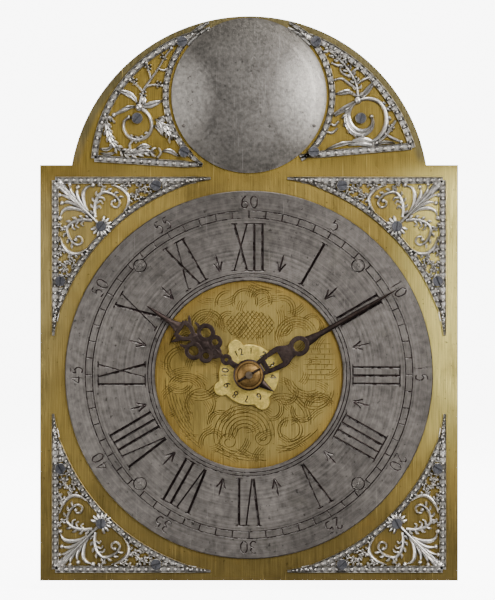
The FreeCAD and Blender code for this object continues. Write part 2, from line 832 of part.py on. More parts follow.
def corner_spandrel():
    """Pierced ornament of the upper right corner: border strips, leaf, paired scrolls and screw pads."""
    far_x, far_z = spandrel_place((1, 1))
    near_x, near_z = spandrel_place((0, 0))
    tip_x, tip_z = spandrel_place((spandrel_tip_share, spandrel_tip_share))
    front = -spandrel_strip_height
    low_front = -spandrel_scroll_height
    width = spandrel_strip_width
    pieces = [block(far_x, near_x, front, 0, near_z - width, near_z),
              block(near_x - width, near_x, front, 0, far_z, near_z),
              pipe(spandrel_ring_radius + width, spandrel_ring_radius - overrun, front, 0),
              block(far_x, tip_x, low_front, 0, far_z, near_z),
              block(far_x, near_x, low_front, 0, far_z, tip_z),
              slab([spandrel_place(shares) for shares in spandrel_leaf_shares], low_front, 0)]
    for scroll in spandrel_scroll_shares:
        for order in (1, -1):
            places = [spandrel_place(shares[::order]) for shares in scroll]
            pieces.append(strip(*places, spandrel_scroll_width, low_front, 0))
    for order in (1, -1):
        pieces.append(rod(spandrel_eye_radius, low_front, 0, *spandrel_place(spandrel_eye_shares[::order])))
    screws = [spandrel_place(shares) for shares in spandrel_screw_shares]
    pieces += [rod(spandrel_pad_radius, front, 0, x, z) for x, z in screws]
    field = block(far_x, near_x, front, 0, far_z, near_z)
    field = field.cut(rod(spandrel_ring_radius, front - overrun, overrun))
    return drilled(fused(pieces).common(field), [(spandrel_screw_shank, screws)], front, 0)


def arch_field(start):
    """The ground that the right arch spandrel may cover, between arch, boss and foot."""
    inner_z = shoulder_z + arch_foot_inner_rise
    outer_z = shoulder_z + arch_foot_outer_rise
    low = arch_centre_z - arch_radius
    below = slab([(-arch_radius, inner_z), (0, inner_z), (arch_radius, outer_z),
                  (arch_radius, low), (-arch_radius, low)], start - overrun, overrun)
    left = block(-arch_radius, arch_spandrel_boss_gap / 2, start - overrun, overrun, low, low + 2 * arch_radius)
    boss = rod(boss_radius + arch_spandrel_boss_gap, start - overrun, overrun, 0, boss_z)
    return rod(arch_radius - arch_spandrel_margin, start, 0, 0, arch_centre_z).cut([below, left, boss])


def arch_spandrel():
    """Pierced ornament to the right of the boss: border strips round one large scroll."""
    front = -spandrel_strip_height
    low_front = -spandrel_scroll_height
    width = spandrel_strip_width
    half = spandrel_scroll_width / 2
    edge = arch_radius - arch_spandrel_margin
    boss_side = boss_radius + arch_spandrel_boss_gap
    inner_z = shoulder_z + arch_foot_inner_rise
    outer_z = shoulder_z + arch_foot_outer_rise
    centre = arch_place(arch_scroll_centre_shares)
    turns = [share * arch_radius for share in arch_scroll_radius_shares]
    pieces = [pipe(edge + overrun, edge - width, front, 0, 0, arch_centre_z),
              pipe(boss_side + width, boss_side - overrun, front, 0, 0, boss_z),
              slab([(0, inner_z - overrun), (arch_radius, outer_z - overrun),
                    (arch_radius, outer_z + width), (0, inner_z + width)], front, 0),
              block(centre[0] - half, centre[0] + half, low_front, 0, centre[1], centre[1] + turns[0])]
    pieces += [pipe(turn + half, turn - half, low_front, 0, *centre) for turn in turns]
    for scroll in arch_scroll_shares:
        pieces.append(strip(*[arch_place(shares) for shares in scroll], spandrel_scroll_width, low_front, 0))
    screws = [arch_place(shares) for shares in arch_screw_shares]
    pieces += [rod(spandrel_pad_radius, front, 0, x, z) for x, z in screws]
    whole = fused(pieces).common(arch_field(front))
    return drilled(whole, [(spandrel_screw_shank, screws)], front, 0)


def spandrel_screws():
    """Slotted screws of all six spandrels."""
    tip = dial_thickness + free_clearance
    screws = []
    for index, (x, z) in enumerate(spandrel_screw_places()):
        screws.append(slotted_screw(spandrel_screw_head, spandrel_screw_rise, spandrel_screw_shank,
                                    -spandrel_strip_height, tip, x, z, index * screw_slot_step_degrees))
    return Part.makeCompound(screws)


def dial_feet():
    """Shouldered feet that carry the dial on the front plate."""
    end = plate_inside + 2 * pin_radius + pin_land
    feet = []
    for x, z in dial_foot_places():
        foot = fused([rod(dial_foot_radius, dial_thickness, plate_front, x, z),
                      rod(dial_foot_neck, plate_front, end, x, z)])
        feet.append(foot.cut(cross_pin(pin_radius, pin_length, x, plate_inside + pin_radius, z)))
    return Part.makeCompound(feet)


def pillars():
    """Turned pillars between the plates, riveted behind and pinned in front."""
    start = plate_front - 2 * pin_radius - pin_land
    middle = plate_inside + plate_spacing / 2
    shoulder = pillar_knop / 2
    profile = [(0, start), (pillar_tenon, start), (pillar_tenon, plate_inside), (pillar_radius, plate_inside),
               (pillar_radius, plate_inside + pillar_collar), (pillar_neck, plate_inside + pillar_collar),
               (pillar_swell, middle - shoulder), (pillar_radius, middle - shoulder / 2),
               (pillar_radius, middle + shoulder / 2), (pillar_swell, middle + shoulder),
               (pillar_neck, back_inside - pillar_collar), (pillar_radius, back_inside - pillar_collar),
               (pillar_radius, back_inside), (pillar_tenon, back_inside),
               (pillar_tenon, back_outside), (0, back_outside)]
    made = []
    for x, z in pillar_places():
        pin = cross_pin(pin_radius, pin_length, x, plate_front - pin_radius, z)
        made.append(turned(profile, x, z).cut(pin))
    return Part.makeCompound(made)


def taper_pins():
    """Pins through the pillars, the dial feet and the alarm stud."""
    pins = [cross_pin(pin_radius, pin_length, x, plate_front - pin_radius, z) for x, z in pillar_places()]
    pins += [cross_pin(pin_radius, pin_length, x, plate_inside + pin_radius, z) for x, z in dial_foot_places()]
    pins.append(cross_pin(pin_radius, alarm_pin_length, alarm_x, alarm_pin_y, alarm_z))
    return Part.makeCompound(pins)


def plate_blank(start, end):
    """Movement plate with rounded corners."""
    plate = block(-plate_half_width, plate_half_width, start, end, plate_bottom_z, plate_top_z)
    corners = []
    for edge in plate.Edges:
        way = edge.tangentAt(0)
        if abs(way.y) > abs(way.x + way.z):
            corners.append(edge)
    return plate.makeFillet(plate_corner, corners)


def front_plate():
    """Front plate with the pivot holes of the train."""
    holes = [(centre_front_radius + running_clearance, [(0, 0)]),
             (great_pivot + running_clearance, [(0, great_z)]),
             (third_pivot + running_clearance, [(0, third_z)]),
             (verge_pivot + running_clearance, [(0, verge_z)]),
             (trip_arbor_radius + running_clearance, [(trip_x, trip_z)]),
             (minute_stud_radius, [(motion_centre, 0)]),
             (alarm_stud_tenon, [(alarm_x, alarm_z)]),
             (pillar_tenon, pillar_places()),
             (dial_foot_neck, dial_foot_places()),
             (frame_screw_shank, bell_foot_screw_places())]
    return drilled(plate_blank(plate_front, plate_inside), holes, plate_front, plate_inside)


def back_plate():
    """Back plate with the pivot holes of the train and the window for the verge."""
    screws = (potence_screw_places() + alarm_cock_screw_places()
              + back_cock_screw_places() + bracket_screw_places())
    holes = [(centre_pivot + running_clearance, [(0, 0)]),
             (great_pivot + running_clearance, [(0, great_z)]),
             (third_pivot + running_clearance, [(0, third_z)]),
             (verge_window, [(0, verge_z)]),
             (trip_pivot + running_clearance, [(trip_x, trip_z)]),
             (pillar_tenon, pillar_places()),
             (wall_spike_tenon, wall_spike_places()),
             (frame_screw_shank, screws)]
    return drilled(plate_blank(back_inside, back_outside), holes, back_inside, back_outside)


def great_arbor():
    """Arbor of the great wheel."""
    return fused([rod(great_arbor_radius, plate_inside + end_shake, back_inside - end_shake, 0, great_z),
                  rod(great_pivot, plate_front, back_outside, 0, great_z)])


def great_wheel():
    """Driving wheel of the going train."""
    return spoked_wheel(great_teeth, great_module, 0, great_start, great_end, great_arbor_radius,
                        great_hub, great_rim, great_spoke, 0, great_z)


def ratchet_wheel():
    """Saw-toothed wheel on the rope pulley's cheek."""
    outline = []
    for index in range(ratchet_teeth):
        degrees = 360 * index / ratchet_teeth
        outline.append(around(ratchet_radius - ratchet_tooth, degrees, 0, great_z))
        outline.append(around(ratchet_radius, degrees, 0, great_z))
    wheel = slab(outline, ratchet_start, pulley_start)
    return wheel.cut(rod(great_arbor_radius, ratchet_start - overrun, pulley_start + overrun, 0, great_z))


def click():
    """Hooked click on a spoke of the great wheel, with its nose in the ratchet."""
    end = great_end + click_thickness
    eye = around(ratchet_radius + click_reach, 90, 0, great_z)
    elbow = around(ratchet_radius + click_elbow_rise, click_elbow_degrees, 0, great_z)
    tip = around(ratchet_radius - click_bite, click_tip_degrees, 0, great_z)
    nose = 2 * click_tip_radius
    return fused([rod(click_eye, great_end, end, *eye), rod(click_tip_radius, great_end, end, *elbow),
                  rod(click_tip_radius, great_end, end, *tip),
                  slab(bar_outline(eye, elbow, 2 * click_eye, nose), great_end, end),
                  slab(bar_outline(elbow, tip, nose, nose), great_end, end)])


def click_spring():
    """Bowed spring from the next spoke to the click."""
    inner = ratchet_radius + click_reach + click_eye + click_spring_gap
    middle = inner + click_spring_thickness / 2
    end = great_end + click_thickness
    first, last = click_spring_degrees
    places = [around(middle, degrees, 0, great_z) for degrees in (first, (first + last) / 2, last)]
    return fused([strip(*places, click_spring_thickness, great_end, end),
                  rod(click_spring_foot, great_end, end, *places[0])])


def pulley_cheeks():
    """Two discs that keep the rope on the going pulley."""
    return Part.makeCompound([pipe(cheek_radius, great_arbor_radius, pulley_start, groove_start, 0, great_z),
                              pipe(cheek_radius, great_arbor_radius, groove_end, pulley_end, 0, great_z)])


def spiked_core(core_radius, bore, start, end, count, x, z):
    """Rope drum with a ring of spikes."""
    pieces = [rod(core_radius, start, end, x, z)]
    middle = (start + end) / 2
    for index in range(count):
        spike = Part.makeCone(spike_radius, spike_tip, 2 * spike_height,
                              Vector(x, middle, z + core_radius - spike_height), Z_AXIS)
        spike.rotate(Vector(x, middle, z), Y_AXIS, 360 * (index + spike_phase_share) / count)
        pieces.append(spike)
    return fused(pieces).cut(rod(bore, start - overrun, end + overrun, x, z))


def pulley_core():
    """Spiked drum of the going pulley."""
    return spiked_core(pulley_core_radius, great_arbor_radius, groove_start, groove_end, pulley_spikes, 0, great_z)


def centre_arbor():
    """Arbor of the hands, with the centre pinion cut on it."""
    pinion_start = plate_inside + centre_pinion_offset
    pinion_end = pinion_start + centre_pinion_length
    shoulder = plate_inside + end_shake
    nose = hand_pin_y - hand_pin_radius - arbor_nose
    arbor = fused([rod(centre_front_radius, nose, shoulder),
                   rod(centre_arbor_radius, shoulder, pinion_start),
                   pinion(centre_leaves, great_module, half_turn, pinion_start, pinion_end),
                   rod(centre_arbor_radius, pinion_end, back_inside - end_shake),
                   rod(centre_pivot, back_inside - end_shake, back_outside)])
    return arbor.cut(hand_pin())


def centre_wheel():
    """Second wheel of the going train."""
    return spoked_wheel(centre_teeth, centre_module, 0, centre_wheel_start, centre_wheel_end,
                        centre_arbor_radius, centre_hub, centre_rim, centre_spoke)


def third_arbor():
    """Arbor of the contrate wheel, with its pinion."""
    start = centre_wheel_middle - third_pinion_length / 2
    end = centre_wheel_middle + third_pinion_length / 2
    return fused([rod(third_pivot, plate_front, plate_inside + end_shake, 0, third_z),
                  rod(third_arbor_radius, plate_inside + end_shake, start, 0, third_z),
                  pinion(third_leaves, centre_module, half_turn, start, end, 0, third_z),
                  rod(third_arbor_radius, end, back_inside - end_shake, 0, third_z),
                  rod(third_pivot, back_inside - end_shake, back_outside, 0, third_z)])


def contrate_wheel():
    """Crown-shaped wheel that turns the drive through a right angle."""
    outer = contrate_radius + contrate_wall / 2
    tooth = (contrate_addendum_share + contrate_dedendum_share) * contrate_module
    ring = crown_ring(contrate_teeth, outer, contrate_wall, contrate_depth, tooth,
                      contrate_notch_shares, contrate_phase_share)
    web = cup_web(outer, contrate_wall, contrate_web, contrate_hub, contrate_spoke, third_arbor_radius)
    tip_y = crown_axis_y - crown_pinion_radius + contrate_addendum_share * contrate_module
    return laid_back(fused([ring, web]), 0, tip_y - tooth - contrate_depth, third_z)


def crown_arbor():
    """Upright arbor of the crown wheel, with its pinion."""
    phase = half_turn + half_turn / crown_leaves
    leaves = toothed_outline(crown_leaves, contrate_module, pinion_leaf_shares, phase, 0, crown_axis_y)
    shoulder = potence_lower_top + end_shake
    return fused([post(crown_pivot, potence_low + end_shake, shoulder, 0, crown_axis_y),
                  post(crown_arbor_radius, shoulder, crown_pinion_low, 0, crown_axis_y),
                  upright_slab(leaves, crown_pinion_low, crown_pinion_high),
                  post(crown_arbor_radius, crown_pinion_high, crown_base_z + crown_rim_height, 0, crown_axis_y)])


def crown_wheel():
    """Escape wheel with saw teeth standing up towards the verge."""
    ring = crown_ring(crown_teeth, crown_radius, crown_wall, crown_rim_height, crown_tooth_height,
                      crown_notch_shares, crown_phase_share)
    hub = post(crown_hub, 0, crown_rim_height).cut(post(crown_arbor_radius, -overrun, crown_rim_height + overrun))
    web = cup_web(crown_radius, crown_wall, crown_web, crown_hub, crown_spoke, crown_arbor_radius)
    wheel = fused([ring, web, hub])
    wheel.translate(Vector(0, crown_axis_y, crown_base_z))
    return wheel


def potence():
    """Two-armed bracket on the back plate that carries the crown wheel's arbor."""
    half = potence_half_width
    foot_start = back_inside - potence_foot
    pieces = [block(-potence_foot_half_width, potence_foot_half_width, foot_start, back_inside,
                    potence_low, potence_high)]
    for low, high in ((potence_low, potence_lower_top), (potence_upper_low, potence_high)):
        pieces.append(block(-half, half, crown_axis_y, foot_start, low, high))
        pieces.append(post(half, low, high, 0, crown_axis_y))
    bores = [post(crown_pivot + running_clearance, potence_low - overrun, potence_lower_top + overrun,
                  0, crown_axis_y),
             post(crown_arbor_radius + running_clearance, potence_upper_low - overrun, potence_high + overrun,
                  0, crown_axis_y)]
    whole = fused(pieces).cut(bores)
    return drilled(whole, [(frame_screw_shank, potence_screw_places())], foot_start, back_inside)


def verge():
    """Verge with its two pallets over the crown wheel."""
    circle = crown_radius - crown_wall / 2
    pieces = [rod(verge_pivot, plate_front + end_shake, plate_inside + end_shake, 0, verge_z),
              rod(verge_radius, plate_inside + end_shake, verge_end, 0, verge_z)]
    half = pallet_thickness / 2
    for side in (-1, 1):
        middle = crown_axis_y + side * circle
        pallet = block(-half, half, middle - pallet_width / 2, middle + pallet_width / 2,
                       verge_z - pallet_length, verge_z)
        pallet.rotate(Vector(0, 0, verge_z), Y_AXIS, -side * pallet_degrees)
        pieces.append(pallet)
    return fused(pieces)


def back_cock():
    """Cock behind the back plate with the verge's rear bearing."""
    standoff = back_outside + back_cock_standoff
    end = standoff + back_cock_thickness
    foot_low = verge_z + back_cock_gap
    pieces = [block(-back_cock_half_width, back_cock_half_width, back_outside, standoff, foot_low, plate_top_z),
              block(-back_cock_nose, back_cock_nose, standoff, end, verge_z, plate_top_z),
              rod(back_cock_nose, standoff, end, 0, verge_z)]
    holes = [(verge_radius + running_clearance, [(0, verge_z)]), (frame_screw_shank, back_cock_screw_places())]
    return drilled(fused(pieces), holes, back_outside, end)


def pendulum_rod():
    """Rod that hangs from the verge's rear end."""
    half = pendulum_eye_length / 2
    eye = rod(pendulum_eye, pendulum_y - half, pendulum_y + half, 0, verge_z)
    hanger = post(pendulum_rod_radius, verge_z - pendulum_length - pendulum_end,
                  verge_z - (pendulum_eye + verge_radius) / 2, 0, pendulum_y)
    bore = rod(verge_radius, pendulum_y - pendulum_eye, pendulum_y + pendulum_eye, 0, verge_z)
    return fused([eye, hanger]).cut(bore)


def pendulum_bob():
    """Pear-shaped bob, threaded on the rod so that it can be raised and lowered."""
    low = verge_z - pendulum_length - bob_height / 2
    high = low + bob_height
    places = [Vector(across * bob_radius, pendulum_y, low + up * bob_height) for across, up in bob_form_shares]
    swell = Part.BSplineCurve()
    swell.interpolate(places)
    bottom = Vector(0, pendulum_y, low)
    top = Vector(0, pendulum_y, high)
    edges = [Part.makeLine(bottom, places[0]), swell.toShape(), Part.makeLine(places[-1], top),
             Part.makeLine(top, bottom)]
    bob = Part.Face(Part.Wire(edges)).revolve(bottom, Z_AXIS, 360)
    return bob.cut(post(pendulum_rod_radius + running_clearance, low - overrun, high + overrun, 0, pendulum_y))


def cannon_pinion():
    """Toothed pipe on the centre arbor that carries the minute hand."""
    outline = toothed_outline(cannon_teeth, minute_module, wheel_tooth_shares, quarter_turn)
    gear = slab(outline, cannon_start, cannon_end)
    sleeve = rod(cannon_pipe, minute_hand_front, plate_front - end_shake)
    return fused([gear, sleeve]).cut(rod(centre_front_radius, minute_hand_front - overrun, plate_front + overrun))


def minute_wheel():
    """Wheel of the motion work that the cannon pinion turns."""
    phase = -quarter_turn + half_turn / minute_teeth
    return spoked_wheel(minute_teeth, minute_module, phase, cannon_start, cannon_end,
                        minute_stud_radius + running_clearance, minute_hub, minute_rim, minute_spoke, motion_centre, 0)


def minute_pinion():
    """Pinion on the minute wheel's face that turns the hour wheel."""
    start = hour_start - free_clearance
    leaves = pinion(minute_leaves, hour_module, -quarter_turn, start, cannon_start, motion_centre, 0)
    return leaves.cut(rod(minute_stud_radius + running_clearance, hour_start - overrun, cannon_start + overrun,
                          motion_centre, 0))


def minute_stud():
    """Stud on the front plate that the minute wheel turns on."""
    return fused([rod(minute_stud_radius, hour_start - minute_stud_nose, plate_inside, motion_centre, 0),
                  rod(minute_stud_flange, cannon_end + end_shake, plate_front, motion_centre, 0)])


def hour_wheel():
    """Wheel and pipe that carry the hour hand round the cannon pinion."""
    wheel = spoked_wheel(hour_teeth, hour_module, quarter_turn, hour_start, hour_end, hour_bore,
                         hour_hub, hour_rim, hour_spoke)
    return fused([wheel, pipe(hour_pipe, hour_bore, hour_hand_front, hour_end + hour_pipe_tail)])


def mirrored_outline(shares, length):
    """Corners of a shape that is alike on both sides of a hand's line, from shares of the hand's length."""
    right = [(aside * length, along * length) for along, aside in shares]
    return right + [(-x, z) for x, z in reversed(right)]


def hand(length, degrees, hub, bore, front, outlines, loops, windows):
    """Pierced hand that points at an angle, from mirrored outlines, round loops and windows."""
    back = front + hand_thickness
    solids = [rod(hub, front, back)] + [slab(mirrored_outline(shares, length), front, back) for shares in outlines]
    cuts = [rod(bore, front - overrun, back + overrun)]
    for along, aside, outer, inner in loops:
        solids.append(rod(outer * length, front, back, aside * length, along * length))
        cuts.append(rod(inner * length, front - overrun, back + overrun, aside * length, along * length))
    cuts += [slab(mirrored_outline(shares, length), front - overrun, back + overrun) for shares in windows]
    made = fused(solids).cut(cuts)
    made.rotate(Vector(0, 0, 0), Y_AXIS, degrees)
    return made


def hour_hand():
    """Hour hand with a quatrefoil of loops, and a tail that points at the alarm disc."""
    outlines = (hour_spine_shares, hour_blade_shares, hour_barb_shares, hour_tail_shares)
    return hand(hour_hand_length, hour_hand_degrees, hour_pipe + hand_hub_wall, hour_pipe, hour_hand_front,
                outlines, hour_loop_shares, (hour_window_shares,))


def minute_hand():
    """Minute hand with an open lozenge and a loop below its blade."""
    return hand(minute_hand_length, minute_hand_degrees, cannon_pipe + hand_hub_wall, cannon_pipe, minute_hand_front,
                (minute_frame_shares, minute_blade_shares), minute_loop_shares, (minute_window_shares,))


def hand_collet():
    """Domed collet in front of the minute hand."""
    bore = centre_front_radius
    edge = minute_hand_front - collet_edge
    middle = (bore + collet_radius) / 2
    bulge = (edge + collet_front) / 2 - collet_edge / 2
    corners = [Vector(bore, minute_hand_front, 0), Vector(collet_radius, minute_hand_front, 0),
               Vector(collet_radius, edge, 0), Vector(bore, collet_front, 0)]
    edges = [Part.makeLine(corners[0], corners[1]), Part.makeLine(corners[1], corners[2]),
             Part.Arc(corners[2], Vector(middle, bulge, 0), corners[3]).toShape(),
             Part.makeLine(corners[3], corners[0])]
    return Part.Face(Part.Wire(edges)).revolve(Vector(0, 0, 0), Y_AXIS, 360)


def hand_pin():
    """Pin through the arbor in front of the collet, along the minute hand."""
    pin = cross_pin(hand_pin_radius, hand_pin_length, 0, hand_pin_y, 0)
    pin.rotate(Vector(0, 0, 0), Y_AXIS, minute_hand_degrees - 90)
    return pin


def alarm_disc():
    """Lobed disc behind the hour hand that sets the alarm."""
    back = -alarm_disc_lift
    pieces = [rod(alarm_disc_radius, alarm_disc_front, back)]
    for degrees in alarm_lobe_degrees:
        pieces.append(rod(alarm_lobe_radius, alarm_disc_front, back, *around(alarm_lobe_circle, degrees)))
    return fused(pieces).cut(rod(alarm_pipe, alarm_disc_front - overrun, back + overrun))


def alarm_cam():
    """Pipe on the hour pipe, with the trip tooth behind the dial."""
    tooth = block(-cam_tooth_width / 2, cam_tooth_width / 2, cam_start, cam_end, 0, cam_tooth_radius)
    tooth.rotate(Vector(0, 0, 0), Y_AXIS, cam_tooth_degrees)
    solids = [rod(alarm_pipe, alarm_disc_front, cam_end), rod(cam_radius, cam_start, cam_end), tooth]
    return fused(solids).cut(rod(alarm_bore, alarm_disc_front - overrun, cam_end + overrun))


def alarm_stud():
    """Stud on the front plate that the alarm wheel turns on."""
    end = alarm_pin_y + pin_radius + pin_land
    stud = fused([rod(alarm_stud_tenon, plate_front, plate_inside, alarm_x, alarm_z),
                  rod(alarm_flange, plate_inside, plate_inside + alarm_flange_length, alarm_x, alarm_z),
                  rod(alarm_stud_radius, plate_inside + alarm_flange_length, end, alarm_x, alarm_z)])
    return stud.cut(cross_pin(pin_radius, alarm_pin_length, alarm_x, alarm_pin_y, alarm_z))


def alarm_pulley_cheeks():
    """Two discs that keep the rope on the alarm pulley."""
    bore = alarm_stud_radius + running_clearance
    ends = ((alarm_pulley_start, alarm_groove_start), (alarm_groove_end, alarm_wheel_start))
    return Part.makeCompound([pipe(alarm_cheek_radius, bore, start, end, alarm_x, alarm_z) for start, end in ends])


def alarm_pulley_core():
    """Spiked drum of the alarm pulley."""
    return spiked_core(alarm_core_radius, alarm_stud_radius + running_clearance, alarm_groove_start,
                       alarm_groove_end, alarm_spikes, alarm_x, alarm_z)


def alarm_crown_wheel():
    """Saw-toothed crown wheel that drives the hammer's verge."""
    ring = crown_ring(alarm_teeth, alarm_wheel_radius, alarm_wheel_wall, alarm_rim_height, alarm_tooth_height,
                      alarm_notch_shares, alarm_phase_share)
    web = cup_web(alarm_wheel_radius, alarm_wheel_wall, alarm_web, alarm_wheel_hub, alarm_wheel_spoke,
                  alarm_stud_radius + running_clearance)
    return laid_back(fused([ring, web]), alarm_x, alarm_wheel_start, alarm_z)


def alarm_verge():
    """Upright verge with two pallets and a tail that the trip lever holds."""
    shoulder = alarm_cock_lower_top + end_shake
    half = alarm_pallet_thickness / 2
    tail = alarm_tail_thickness / 2
    pieces = [post(alarm_verge_pivot, alarm_cock_lower_top - alarm_cock_thickness + end_shake, shoulder,
                   alarm_x, alarm_verge_y),
              post(alarm_verge_radius, shoulder, hammer_arm_top, alarm_x, alarm_verge_y),
              block(alarm_x, alarm_x + alarm_tail_length, alarm_verge_y - tail, alarm_verge_y + tail,
                    alarm_tail_z - tail, alarm_tail_z + tail)]
    for side in (-1, 1):
        middle = alarm_z + side * alarm_mean_radius
        pallet = block(alarm_x - half, alarm_x + half, alarm_verge_y - alarm_pallet_length, alarm_verge_y,
                       middle - alarm_pallet_width / 2, middle + alarm_pallet_width / 2)
        pallet.rotate(Vector(alarm_x, alarm_verge_y, 0), Z_AXIS, side * alarm_pallet_degrees)
        pieces.append(pallet)
    return fused(pieces)


def alarm_cocks():
    """Two cocks on the back plate that carry the alarm verge."""
    half = alarm_cock_half_width
    foot_start = back_inside - alarm_cock_foot
    bores = (alarm_verge_pivot + running_clearance, alarm_verge_radius + running_clearance)
    cocks = []
    for low, bore in zip(alarm_cock_levels(), bores):
        high = low + alarm_cock_thickness
        middle = (low + high) / 2
        cock = fused([block(alarm_x - half, alarm_x + half, alarm_verge_y, foot_start, low, high),
                      post(half, low, high, alarm_x, alarm_verge_y),
                      block(alarm_x - half, alarm_x + half, foot_start, back_inside,
                            middle - alarm_cock_foot_half_height, middle + alarm_cock_foot_half_height)])
        cock = cock.cut(post(bore, low - overrun, high + overrun, alarm_x, alarm_verge_y))
        cocks.append(drilled(cock, [(frame_screw_shank, alarm_cock_screw_places())], foot_start, back_inside))
    return Part.makeCompound(cocks)


def alarm_hammer():
    """Hammer arm on top of the alarm verge, with its head inside the bell."""
    half = hammer_arm_width / 2
    head = post(hammer_head_radius, hammer_head_z, hammer_head_z + hammer_head_height, 0, alarm_verge_y)
    rims = [edge for edge in head.Edges if edge.Curve.TypeId == "Part::GeomCircle"]
    head = head.makeFillet(hammer_head_round, rims)
    pieces = [post(hammer_collar, hammer_arm_z, hammer_arm_top, alarm_x, alarm_verge_y),
              block(alarm_x, 0, alarm_verge_y - half, alarm_verge_y + half, hammer_arm_z, hammer_arm_top),
              post(half, hammer_arm_z, hammer_arm_top, 0, alarm_verge_y),
              post(hammer_post, hammer_arm_z, hammer_head_z + hammer_head_height / 2, 0, alarm_verge_y), head]
    bore = post(alarm_verge_radius, hammer_arm_z - overrun, hammer_arm_top + overrun, alarm_x, alarm_verge_y)
    return fused(pieces).cut(bore)


def bell():
    """Cup-shaped bell, mouth down, with a flat crown."""
    sides = []
    for radius, height in ((bell_radius, bell_height), (bell_radius - bell_wall, bell_height - bell_wall)):
        places = []
        for turn in (0, quarter_turn / 2, quarter_turn):
            reach = bell_flat + (radius - bell_flat) * math.cos(turn)
            places.append(Vector(reach, alarm_verge_y, bell_mouth_z + height * math.sin(turn)))
        sides.append(places)
    outer, inner = sides
    hole_top = Vector(bell_bolt_radius, alarm_verge_y, bell_top_z)
    hole_low = Vector(bell_bolt_radius, alarm_verge_y, bell_top_z - bell_wall)
    wire = [Part.Arc(*outer).toShape(), Part.makeLine(outer[-1], hole_top), Part.makeLine(hole_top, hole_low),
            Part.makeLine(hole_low, inner[-1]), Part.Arc(*inner).toShape(), Part.makeLine(inner[0], outer[0])]
    return Part.Face(Part.Wire(Part.__sortEdges__(wire))).revolve(Vector(0, alarm_verge_y, 0), Z_AXIS, 360)


def bell_stand():
    """Bent strap from the front plate's head over the top of the bell."""
    start = plate_front - bell_stand_thickness
    top = bell_arm_z + bell_stand_thickness
    half = bell_stand_half_width
    foot_low = plate_top_z - bell_foot_height
    pieces = [block(-bell_foot_half_width, bell_foot_half_width, start, plate_front, foot_low, plate_top_z),
              block(-half, half, start, plate_front, foot_low, top),
              block(-half, half, start, alarm_verge_y, bell_arm_z, top),
              post(half, bell_arm_z, top, 0, alarm_verge_y)]
    strap = fused(pieces).cut(post(bell_bolt_radius, bell_arm_z - overrun, top + overrun, 0, alarm_verge_y))
    return drilled(strap, [(frame_screw_shank, bell_foot_screw_places())], start, plate_front)


def bell_fixings():
    """Bolt, collar and nut that hang the bell from its stand."""
    top = bell_arm_z + bell_stand_thickness
    inside = bell_top_z - bell_wall
    nut_low = inside - bell_nut_height
    bolt = fused([post(bell_bolt_radius, nut_low, top, 0, alarm_verge_y),
                  post(bell_bolt_head, top, top + bell_bolt_head_height, 0, alarm_verge_y)])
    collar = post(bell_collar_radius, bell_top_z, bell_arm_z, 0, alarm_verge_y)
    nut = post(bell_nut_radius, nut_low, inside, 0, alarm_verge_y)
    bore = post(bell_bolt_radius, nut_low - overrun, top + overrun, 0, alarm_verge_y)
    return Part.makeCompound([bolt, collar.cut(bore), nut.cut(bore)])


def trip_lever():
    """Lever that the cam trips: front arm, arbor through the plates, detent and balancing tail."""
    place = (trip_x, trip_z)
    reach = math.hypot(trip_x, trip_z)
    nose_share = (cam_tooth_radius + trip_nose_gap) / reach
    nose = (trip_x * nose_share, trip_z * nose_share)
    detent_start = alarm_verge_y - trip_detent_thickness / 2
    detent_end = alarm_verge_y + trip_detent_thickness / 2
    detent_x = alarm_x + alarm_tail_length + trip_detent_gap
    tail = (trip_x - trip_tail_reach, trip_z - trip_tail_drop)
    return fused([rod(trip_arbor_radius, cam_start, back_inside - end_shake, *place),
                  rod(trip_pivot, back_inside - end_shake, back_outside, *place),
                  rod(trip_hub, cam_start, cam_end, *place),
                  slab(bar_outline(place, nose, 2 * trip_arm_width, trip_arm_width), cam_start, cam_end),
                  rod(trip_hub, detent_start, detent_end, *place),
                  block(detent_x, detent_x + trip_arm_width, detent_start, detent_end,
                        trip_z, alarm_tail_z + trip_arm_width),
                  slab(bar_outline(place, tail, trip_arm_width, trip_tail_width), detent_start, detent_end)])


def hanging_bracket():
    """Iron strap behind the back plate, with the eye for a wall hook."""
    low = plate_top_z - bracket_height
    outer = bracket_half_width + bracket_strip
    eye_start = wall_plane - bracket_strip
    pieces = [block(-outer, outer, eye_start, wall_plane, low, plate_top_z),
              rod(bracket_eye_land, eye_start, wall_plane, 0, bracket_eye_z)]
    for side in (-1, 1):
        arm = sorted((side * bracket_half_width, side * outer))
        foot = sorted((side * bracket_half_width, side * (outer + bracket_foot)))
        pieces.append(block(*arm, back_outside, wall_plane, low, plate_top_z))
        pieces.append(block(*foot, back_outside, back_outside + bracket_strip, low, plate_top_z))
    strap = fused(pieces).cut(rod(bracket_eye_radius, eye_start - overrun, wall_plane + overrun, 0, bracket_eye_z))
    return drilled(strap, [(frame_screw_shank, bracket_screw_places())], back_outside, back_outside + bracket_strip)


def wall_spikes():
    """Pointed iron spurs that keep the lower end off the wall."""
    collar_end = back_outside + wall_spike_collar_length
    profile = [(0, back_inside), (wall_spike_tenon, back_inside), (wall_spike_tenon, back_outside),
               (wall_spike_collar, back_outside), (wall_spike_collar, collar_end), (wall_spike_radius, collar_end),
               (wall_spike_radius, wall_plane - wall_spike_point), (0, wall_plane)]
    return Part.makeCompound([turned(profile, x, z) for x, z in wall_spike_places()])


